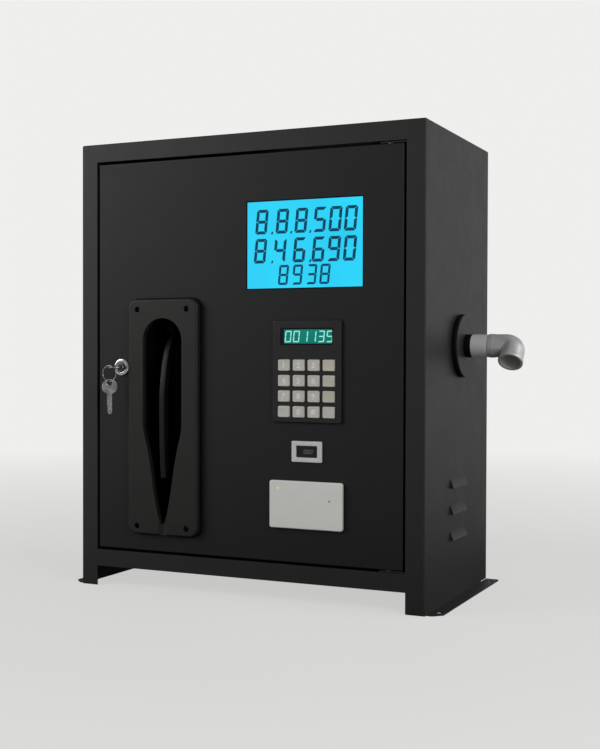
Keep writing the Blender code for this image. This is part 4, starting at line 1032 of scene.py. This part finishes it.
def make_holster():
    face, pocket = holster_face(), holster_pocket()
    piece("holster_face", face, plate_plastic, "door", ("holster_plate",), angle=35)
    # A thin black rubber seal round the plate. Its dark rim is also painted shade, standing in for the
    # shadow gap round the plate.
    edge, play = 1.5, 0.1
    shade_seal = slab("Y", -2.0, -0.3, plate_outline(edge), [plate_outline(-edge)])
    shade_seal = cut(shade_seal, slab("Y", -3.0, PLATE_HIGH.y + 0.05, plate_outline(play)))
    piece("holster_shade_seal", shade_seal, rubber, "door")
    piece("holster_pocket", pocket, pocket_plastic, "door", ("holster_boot",), angle=60)
    flange = slab("Y", 1.8, 3.8, pocket_outline(11.0), [pocket_outline(1.9)])
    piece("holster_flange", flange, pocket_plastic, "door", ease=0.3)
    for index, (x, z) in enumerate(screw_places()):
        name = f"holster_screw_{index + 1}"
        place = (x, PLATE_LOW.y + 3.6, z)
        add_screw(name, place, (0, -1, 0), 3.5, 2.0, screw_black, "zinc", "door", index * 0.8)


def door_pan():
    low, high = DOOR_LOW, DOOR_HIGH
    outer = block(low.x, 0, low.z, high.x, high.y, high.z)
    outer = eased(outer, 1.7, lambda a, b: max(a.y, b.y) < 0.01, 4)
    outer = eased(
        outer, 1.2, lambda a, b: abs(a.x - b.x) < 0.01 and abs(a.z - b.z) < 0.01 and abs(a.y - b.y) > 5, 3
    )
    hollow = block(low.x + SHEET, SHEET, low.z + SHEET, high.x - SHEET, high.y + 5, high.z - SHEET)
    keypad_low, keypad_high = span("keypad_housing")
    cutouts = [
        around(DISPLAY_LOW, DISPLAY_HIGH, 0.7),
        rectangle(PANEL_X - 42, keypad_low.z + 5, PANEL_X + 42, keypad_high.z - 6),
    ]
    for node, half_width, half_height in (("counter_bezel", 15, 8), ("reader_cover", 20, 12)):
        x, z = middle(node).xz
        cutouts.append(rectangle(x - half_width, z - half_height, x + half_width, z + half_height))
    cutouts += [circle(LOCK_X, LOCK_Z, 9.8), pocket_outline(3.0)]
    tools = [hollow] + [slab("Y", -3, 6, outline) for outline in cutouts]
    pin = middle("hinge_pin_upper")
    over, radius = 4, 4.2
    for z in (low.z + SHEET / 2, high.z - SHEET / 2):
        tools.append(turned("Z", pin.x, pin.y, [(z - over, radius), (z + over, radius)]))
    return cut(outer, *tools)


# Digits made of seven bars.

BARS = {
    "0": "abcdef", "1": "bc", "2": "abged", "3": "abgcd", "4": "fgbc", "5": "afgcd",
    "6": "afgecd", "7": "abc", "8": "abcdefg", "9": "abfgcd", " ": "", "-": "g",
}


def bar_outlines(width, height, stroke):
    """The outlines of the seven bars, mitred where they meet, about the digit's middle."""
    w, h, s = width / 2, height / 2, stroke
    gap, nose = stroke * 0.09, stroke * 0.55
    top = [
        (-w + nose, h), (-w + nose / 2 + gap, h - nose / 2), (-w + s + gap, h - s),
        (w - s - gap, h - s), (w - nose / 2 - gap, h - nose / 2), (w - nose, h),
    ]
    side = [
        (w, h - nose), (w - nose / 2, h - nose / 2 - gap), (w - s, h - s - gap),
        (w - s, s / 2 + gap), (w - s / 2, gap), (w, gap),
    ]
    cross = [
        (-w + s / 2 + gap, 0), (-w + s + gap, -s / 2), (w - s - gap, -s / 2),
        (w - s / 2 - gap, 0), (w - s - gap, s / 2), (-w + s + gap, s / 2),
    ]
    return {
        "a": top,
        "b": side,
        "c": [(u, -v) for u, v in side],
        "d": [(u, -v) for u, v in top],
        "e": [(-u, -v) for u, v in side],
        "f": [(-u, v) for u, v in side],
        "g": cross,
    }


def digit_bars(text, places, z, width, height, stroke, slant, low_y, high_y):
    """Solids for a row of digits with their middles at the given places."""
    solids = []
    outlines = bar_outlines(width, height, stroke)
    for character, x in zip(text, places):
        for bar in BARS[character]:
            outline = [(x + u + v * slant, z + v) for u, v in outlines[bar]]
            solids.append(slab("Y", low_y, high_y, outline))
    return solids


def make_display():
    low, high = DISPLAY_LOW, DISPLAY_HIGH
    lens = slab("Y", low.y, high.y, around(low, high))
    glow = display_glow()
    piece("display_panel", lens, glow, "door", ("display_lens",), ease=0.3)
    mask = slab("Y", low.y - 0.35, low.y - 0.05, around(low, high, 1.6), [around(low, high, -0.9)])
    piece("display_mask", mask, rubber, "door", ease=0.1)
    front, back = low.y - 0.25, low.y - 0.05
    slant, width, height, stroke = 0.1, 16.4, 31.2, 3.9
    middle_z = (low.z + high.z) / 2
    upper = [27.5, 56.4, 82.6, 108.2, 129.2, 149.9]
    bars = digit_bars("888500", upper, middle_z + 29.3, width, height, stroke, slant, front, back)
    centre = [25.5, 53.0, 80.2, 106.3, 127.3, 148.7]
    bars += digit_bars("846690", centre, middle_z - 7.6, width, height, stroke, slant, front, back)
    lower = [58.0, 77.5, 97.0, 115.2]
    bars += digit_bars("8938", lower, middle_z - 38.6, 13.4, 25.2, 2.9, slant, front, back)
    upper_z, lower_z = 15.0, -21.6  # heights of the decimal points from the display's middle
    for x, z in ((41.7, upper_z), (68.3, upper_z), (94.6, upper_z), (41.8, lower_z), (94.7, lower_z)):
        point = [(x - 1.2, z - 1.9), (x + 1.0, z - 1.9), (x + 1.8, z + 1.5), (x - 0.4, z + 1.5)]
        bars.append(slab("Y", front, back, [(u, middle_z + v) for u, v in point]))
    piece("display_digits", gathered(bars), display_ink(), "door")


def make_keypad():
    low, high = span("keypad_housing")
    lcd_low, lcd_high = span("preset_lcd")
    gap = 0.3
    windows = [around(lcd_low, lcd_high, gap)]
    windows += [around(*span("key_" + name), -gap, 1.6, 4) for name in KEY_NAMES]
    plate = slab("Y", low.y, high.y, around(low, high, 0.0, 2.5), windows)
    plate = eased(plate, 1.3, rim_of(low, high), 4)
    piece("keypad_frame", plate, black_plastic, "door", ("keypad_housing",), ease=0.2)

    def inset(left, others, corner):
        """The small display's outline drawn in, by one amount at its left and another elsewhere."""
        return rounded(
            lcd_low.x + left, lcd_low.z + others, lcd_high.x - others, lcd_high.z - others, corner, 3
        )

    lens = slab("Y", lcd_low.y, lcd_high.y, inset(0.0, 0.0, 0.8))
    lens = cut(lens, slab("Y", lcd_low.y - 1, lcd_low.y + 0.6, inset(4.2, 1.4, 0.6)))
    piece("preset_surround", lens, window_smoke(), "door", ("preset_lcd",), ease=0.15)
    face = slab("Y", lcd_low.y + 0.35, lcd_low.y + 0.55, inset(4.4, 1.6, 0.5))
    piece("preset_panel", face, preset_glow(), "door")
    middle_z = (lcd_low.z + lcd_high.z) / 2
    columns = [66.4 + 11.4 * index for index in range(6)]
    front, back = lcd_low.y + 0.15, lcd_low.y + 0.33
    bars = digit_bars("001135", columns, middle_z, 8.6, 14.4, 1.45, 0.1, front, back)
    piece("preset_digits", gathered(bars), mint_glow(), "door")


KEY_NAMES = (
    "1", "2", "3", "enter", "4", "5", "6", "clear", "7", "8", "9", "volume", "star", "0", "hash", "price",
)


def keycap(x, z, width, height, front):
    """A cap with round corners, eased shoulders and a shallow dish in its face."""
    rings = []
    half_w, half_h = width / 2, height / 2
    levels = [(1.2, 0.8, 1.4), (0.0, 0.8, 1.4), (-0.02, 0.0, 1.4)]
    for step in range(6):
        turn = math.pi / 2 * step / 5
        levels.append((front + 0.9 * (1 - math.sin(turn)), -0.5 - 0.9 * (1 - math.cos(turn)), 1.5))
    levels += [(front + 0.1, -2.6, 1.6), (front + 0.26, -4.2, 1.6), (front + 0.34, -6.0, 1.2)]
    for y, grow, radius in levels:
        wide, tall = half_w + grow, half_h + grow
        outline = rounded(x - wide, z - tall, x + wide, z + tall, min(radius, wide * 0.6, tall * 0.6), 5)
        rings.append([(u, y, v) for u, v in outline])
    return lofted(rings)


def legend(text, x, z, height, front):
    """A printed character, as thin solid ink on the face that looks towards -Y."""
    curve = bpy.data.curves.new("legend", "FONT")
    curve.body = text
    curve.size = height * 1.38
    curve.align_x = "CENTER"
    curve.align_y = "CENTER"
    curve.extrude = 0.12
    curve.offset = 0.22
    carrier = linked("legend", curve)
    graph = bpy.context.evaluated_depsgraph_get()
    mesh = bpy.data.meshes.new_from_object(carrier.evaluated_get(graph))
    bpy.data.objects.remove(carrier)
    solid = bmesh.new()
    solid.from_mesh(mesh)
    lows = [min(vert.co[axis] for vert in solid.verts) for axis in (0, 1)]
    highs = [max(vert.co[axis] for vert in solid.verts) for axis in (0, 1)]
    centre = Matrix.Translation((-(lows[0] + highs[0]) / 2, -(lows[1] + highs[1]) / 2, 0))
    stand = Matrix.Translation((x, front, z)) @ Matrix.Rotation(math.pi / 2, 4, "X")
    return turned_by(solid, stand @ centre)


def make_keys():
    printed = {"star": "*", "hash": "#", "enter": "", "clear": "", "volume": "", "price": ""}
    for name in KEY_NAMES:
        low, high = span("key_" + name)
        x, z = (low.x + high.x) / 2, (low.z + high.z) / 2
        text = printed.get(name, name)
        surface = key_plastic if text or name == "price" else blank_key_plastic
        cap = keycap(x, z, high.x - low.x - 1.6, high.z - low.z - 1.6, low.y)
        piece("keycap_" + name, cap, surface, "key_" + name, ("key_" + name,), angle=35)
        if text:
            height = 4.0 if text == "*" else 7.2
            ink = legend(text, x, z, height, low.y + 0.2)
            piece("keymark_" + name, ink, legend_ink, "key_" + name)


def make_counter():
    low, high = span("counter_bezel")
    module_low, module_high = span("counter_module")
    x, z = PANEL_X, (low.z + high.z) / 2

    def pane(half_width, half_height, corner, steps=3):
        return rounded(x - half_width, z - half_height, x + half_width, z + half_height, corner, steps)

    bezel = slab("Y", low.y, high.y, around(low, high, 0.0, 1.5, 5), [pane(14.4, 7.3, 0.8, 4)])
    bezel = eased(bezel, 0.8, lambda a, b: max(a.y, b.y) < low.y + 0.01, 3)
    piece("counter_frame", bezel, bezel_metal, "door", ("counter_bezel",), angle=35)
    front = module_low.y
    body = slab("Y", 1.8, module_high.y, around(module_low, module_high, 0.0, 1.5, 3))
    nose = slab("Y", front, 2.0, pane(14.1, 6.9, 0.6))
    solid = cut(united(body, nose), slab("Y", front - 1, front + 0.9, pane(12.6, 4.7, 0.5)))
    piece("counter_case", solid, black_plastic, "door", ("counter_module",), ease=0.2)
    glass = slab("Y", front + 0.5, front + 0.85, pane(12.5, 4.6, 0.5))
    piece("counter_window", glass, window_smoke(), "door")
    columns = [x - 3.2 + 3.2 * index for index in range(4)]
    bars = digit_bars("0000", columns, z, 2.5, 5.2, 0.55, 0.08, front + 0.32, front + 0.45)
    piece("counter_digits", gathered(bars), faint_print, "door")


def make_reader():
    low, high = span("reader_cover")
    led = middle("reader_led")
    sound = (PANEL_X + 32.5, (low.z + high.z) / 2 + 6.5)
    holes = [circle(led.x, led.z, 1.9, 24), circle(*sound, 1.2, 20)]
    tile = slab("Y", low.y, -2.0, around(low, high, 0.0, 3.0, 8), holes)
    tile = eased(tile, 1.4, rim_of(low, high), 5)
    piece("reader_tile", tile, reader_plastic, "door", ("reader_cover",), ease=0.15)
    base = slab("Y", -1.7, high.y, around(low, high, -0.8, 2.6, 8), holes)
    piece("reader_base", base, black_plastic, "door", ease=0.15)
    radius, shoulder = 1.6, low.y + 0.3
    profile = [(led.y + 2.4, radius), (shoulder, radius)]
    for step in range(1, 6):
        turn = math.pi / 2 * step / 5
        profile.append((shoulder - 0.55 * math.sin(turn), radius * max(math.cos(turn), 0.05)))
    dome = turned("Y", led.x, led.z, profile, count=32)
    piece("reader_light", dome, led_glow(), "door", ("reader_led",), angle=50)


# The lock and its keys.


def make_lock():
    at = (LOCK_X, LOCK_Z)
    low, high = span("lock_body")
    face = high.x - LOCK_X
    rim_y, neck, bore = low.y + 0.9, 9.4, 6.1
    body = [
        (rim_y, face), (-0.3, face), (-0.3, neck), (high.y, neck), (high.y, bore),
        (rim_y, bore), (low.y, bore + 0.9), (low.y, face - 1.6),
    ]
    solid = turned("Y", *at, eased_profile(body, 0.7, steps=4), bored=True)
    piece("lock_barrel", solid, chrome, "door", ("lock_body",), angle=45)
    front, end = (corner.y for corner in span("lock_plug"))
    radius, stub, stub_y = 5.8, 4.0, 17.0
    profile = [
        (front, radius - 1.2), (front + 0.25, radius - 0.35), (front + 0.8, radius),
        (stub_y, radius), (stub_y, stub), (end, stub),
    ]
    half_x, half_z = 4.3, 1.25
    slot = block(LOCK_X - half_x, -6, LOCK_Z - half_z, LOCK_X + half_x, 14, LOCK_Z + half_z)
    plug = cut(turned("Y", *at, profile), slot)
    piece("lock_cylinder", plug, plug_metal, "lock_core", ("lock_plug",), angle=35)
    lay = Matrix.Translation((LOCK_X, -KEY_OUT, LOCK_Z)) @ Matrix.Rotation(math.pi, 4, "Z")
    solid = turned_by(key_blank(11.0), lay)
    piece("lock_key", solid, key_metal, "lock_core", ("cabinet_key",), ease=0.22)
    hole_v = 3.5
    grip = slab("Z", -1.7, 1.7, circle(0, 0, 9.7, 56), [circle(0, hole_v, 3.8, 32)])
    grip = cut(grip, slab("Z", -0.95, 0.95, circle(0, 0, 9.5, 56), [circle(0, hole_v, 4.2, 32)]))
    piece("lock_key_grip", turned_by(grip, lay), black_plastic, "lock_core", ease=0.3)


def key_bow(radius, neck, drop=0.0):
    """A key's round bow as an outline that is open where its blade, neck wide each way, begins."""
    spread = math.asin(neck / radius)
    start = -math.pi / 2 + spread
    return arc(0, -drop, radius, start, start + math.tau - 2 * spread, 44)


def key_blank(blade_end):
    """A key lying in the XY plane about its bow's middle, with its blade towards -Y."""
    neck, half = 4.0, KEY_THICKNESS / 2
    tip = -KEY_OUT - blade_end
    collar = [(neck, -12.0), (neck + 0.8, -12.6), (neck + 0.8, -14.0), (neck, -14.4)]
    outline = key_bow(9.75, neck) + [(-u, v) for u, v in collar]
    bits_start, bits_end, bits = -15.0, tip + 3.0, 5
    length = bits_end - bits_start
    for index in range(bits):
        v = bits_start + length * index / bits
        notch = -neck + 0.9
        outline += [(-neck, v), (notch + 0.5 * (index % 2), v + length * 0.08), (notch, v + length * 0.14)]
    outline += [(-neck + 0.6, bits_end), (-1.0, tip), (1.0, tip), (neck, tip + 3.5)]
    outline += collar[::-1]
    solid = slab("Z", -half, half, outline, [circle(0, 3.5, 4.0, 32)])
    return cut(solid, block(-0.2, tip + 2, half - 0.5, 1.5, -13.0, half + 1))


def make_ring():
    """A split ring: two turns of wire pressed side by side."""
    wire, pitch, turns, steps, count = 0.42, 0.56, 1.9, 160, 12
    rings = []
    centre = Vector((RING_X, RING_Y, RING_Z))
    for step in range(steps + 1):
        share = step / steps
        turn = math.tau * turns * share - math.radians(70)
        outward = Vector((math.cos(turn), 0, math.sin(turn)))
        place = centre + outward * RING_RADIUS + Vector((0, (share - 0.5) * pitch, 0))
        thin = wire * (1.0 if 0 < step < steps else 0.5)
        ring = []
        for index in range(count):
            angle = math.tau * index / count
            ring.append(place + thin * (outward * math.cos(angle) + Vector((0, math.sin(angle), 0))))
        rings.append(ring)
    piece("split_ring", lofted(rings), key_metal, "key_ring", ("key_ring",), angle=50)


def make_spare_key():
    """The key that hangs on the ring, drawn in the XZ plane about the wire and then turned."""
    neck, half = 3.3, KEY_THICKNESS / 2
    hole_drop, bow_drop, turn = 1.8, 7.3, math.radians(55)
    wire_z = RING_Z - RING_RADIUS
    tip = span("spare_key")[0].z - wire_z
    root = -bow_drop - 11.8
    outline = key_bow(10.2, neck, bow_drop)
    outline += [(-neck, root), (-neck, tip + 14)]
    for index in range(4):
        v = tip + 12 - index * 2.6
        outline += [(-neck + 0.2, v), (-neck + 1.2 + 0.4 * (index % 2), v - 1.2)]
    outline += [(-neck + 0.8, tip + 2.4), (-1.0, tip), (neck - 1.6, tip + 0.8), (neck, tip + 2.6)]
    outline.append((neck, root))
    solid = slab("Y", -half, half, outline, [circle(0, -hole_drop, 3.6, 32)])
    solid = cut(solid, block(-0.1, -KEY_THICKNESS, tip + 2, 1.7, 0.55 - half, -bow_drop - 8.5))
    place = Matrix.Translation((RING_X, RING_Y, wire_z)) @ Matrix.Rotation(math.pi / 2 - turn, 4, "Z")
    piece("hanging_key", turned_by(solid, place), key_metal, "spare_key", ("spare_key",), ease=0.22)


# The nozzle lever.

# Points along the lever's middle: how far behind the door's face, and how high.
LEVER_CURVE = ((34.0, 350.0), (10.0, 318.0), (-1.0, 272.0), (-2.0, 228.0), (-1.0, 190.0), (2.0, 152.6))


def make_lever():
    lever_x, width, depth, corner = -116.0, 8.0, 12.0, 1.6
    section = [(lever_x + u, v) for u, v in rounded(-width / 2, -depth / 2, width / 2, depth / 2, corner, 4)]
    path = smooth_path(LEVER_CURVE, 10)
    rings = swept(path, section)
    last = rings[-1]
    centre = Vector((lever_x, path[-1].x, path[-1].y))
    for share, drop in ((0.8, 0.9), (0.45, 1.1)):
        below = Vector((0, 0, -drop))
        rings.append([centre + (Vector(point) - centre) * share + below for point in last])
    bar = lofted(rings)
    hub_y, hub_z = LEVER_CURVE[0]
    radius, chamfer = 5.0, 0.6
    left, right = lever_x - 15, lever_x + 17
    profile = [(left, radius - chamfer), (left + chamfer, radius)]
    profile += [(right - chamfer, radius), (right, radius - chamfer)]
    hub = turned("X", hub_y, hub_z, profile, count=40)
    solid = united(bar, hub)
    piece("lever_bar", solid, lever_plastic, "nozzle_lever", ("nozzle_lever",), angle=40)


# The stage: floor, lights, sky and camera.

SKY_COLOUR = (0.86, 0.86, 0.85, 1.0)


def make_stage():
    """A pale floor that fades into the sky's colour. It throws little light back near the cabinet."""
    floor = bmesh.new()
    bmesh.ops.create_circle(floor, cap_ends=True, radius=30.0, segments=96)
    made = plain_object("floor", floor)
    shading = Shading("pale_floor", (0.7, 0.695, 0.68), 0.6)
    shading.mottled(0.015, 400.0).uneven(0.05, 300.0)
    distance = shading.add("VectorMath", {0: shading.place}, operation="LENGTH").outputs["Value"]
    to_camera = shading.add("LightPath", {}).outputs["Is Camera Ray"]
    near = shading.ranged(distance, 0.0, 1.0, 0.45, 0.9)
    bounced = shading.mixed(near, (0.05, 0.05, 0.05), shading.base)
    shading.feed("Base Color", shading.mixed(to_camera, bounced, shading.base))
    glow = shading.add("Emission", {"Color": SKY_COLOUR})
    fade = shading.ranged(distance, 0.66, 1.0, 0.5, 2.4)
    amount = shading.add("Math", {0: to_camera, 1: fade}, operation="MULTIPLY")
    layers = {0: amount.outputs["Value"], 1: shading.shader.outputs[0], 2: glow.outputs[0]}
    blend = shading.add("MixShader", layers)
    shading.tree.links.new(blend.outputs[0], shading.tree.nodes["Material Output"].inputs["Surface"])
    made.data.materials.append(shading.material)


def area_light(name, place, target, size, power, colour=(1.0, 1.0, 1.0)):
    light = bpy.data.lights.new(name, "AREA")
    light.shape = "RECTANGLE"
    light.size, light.size_y = size
    light.energy = power
    light.color = colour
    made = linked(name, light)
    made.location = place
    made.rotation_euler = (Vector(target) - Vector(place)).to_track_quat("-Z", "Y").to_euler()
    made.visible_camera = False


def make_lights():
    middle_height = (0.0, 0.0, 0.3)
    area_light("key_light", (2.6, 0.4, 1.6), middle_height, (1.8, 2.2), 15.0)
    area_light("left_light", (-2.4, -2.0, 1.45), middle_height, (2.0, 1.8), 35.0)
    area_light("right_front_light", (2.1, -1.5, 1.2), middle_height, (0.9, 1.3), 19.0)
    area_light("back_wall_light", (1.2, 2.6, 0.9), middle_height, (4.0, 1.8), 8.5)


def make_sky():
    world = bpy.data.worlds.new("studio")
    bpy.context.scene.world = world
    world.use_nodes = True
    tree = world.node_tree
    tree.nodes.clear()
    seen = add_node(tree, "Background", {"Color": SKY_COLOUR, "Strength": 1.0})
    around = add_node(tree, "Background", {"Color": (0.9, 0.92, 0.95, 1.0), "Strength": 0.19})
    to_camera = add_node(tree, "LightPath", {}).outputs["Is Camera Ray"]
    mix = add_node(tree, "MixShader", {0: to_camera, 1: around.outputs[0], 2: seen.outputs[0]})
    add_node(tree, "OutputWorld", {"Surface": mix.outputs[0]})


def make_camera():
    place = TO_ROW @ Vector((713.35, -1375.92, 316.51))
    yaw, pitch, roll = (math.radians(turn) for turn in (24.663, -0.982, 0.152))
    data = bpy.data.cameras.new("camera")
    data.lens = 57.88
    data.sensor_width = 36.0
    data.clip_end = 100.0
    camera = linked("camera", data)
    turn = Matrix.Rotation(yaw, 4, "Z") @ Matrix.Rotation(math.pi / 2 + pitch, 4, "X")
    camera.matrix_world = Matrix.Translation(place) @ turn @ Matrix.Rotation(roll, 4, "Z")
    bpy.context.scene.camera = camera


make_camera()
make_sky()
make_lights()
make_stage()
bpy.context.scene.view_settings.view_transform = "Standard"

make_cabinet()
make_outlet()
make_motor()
make_pump_details()
make_power_supply()
dress_frame()
piece("door_pan", door_pan(), door_paint, "door", ("door_panel",), ease=0.35)
make_holster()
make_display()
make_keypad()
make_keys()
make_counter()
make_reader()
make_lock()
make_ring()
make_spare_key()
make_lever()
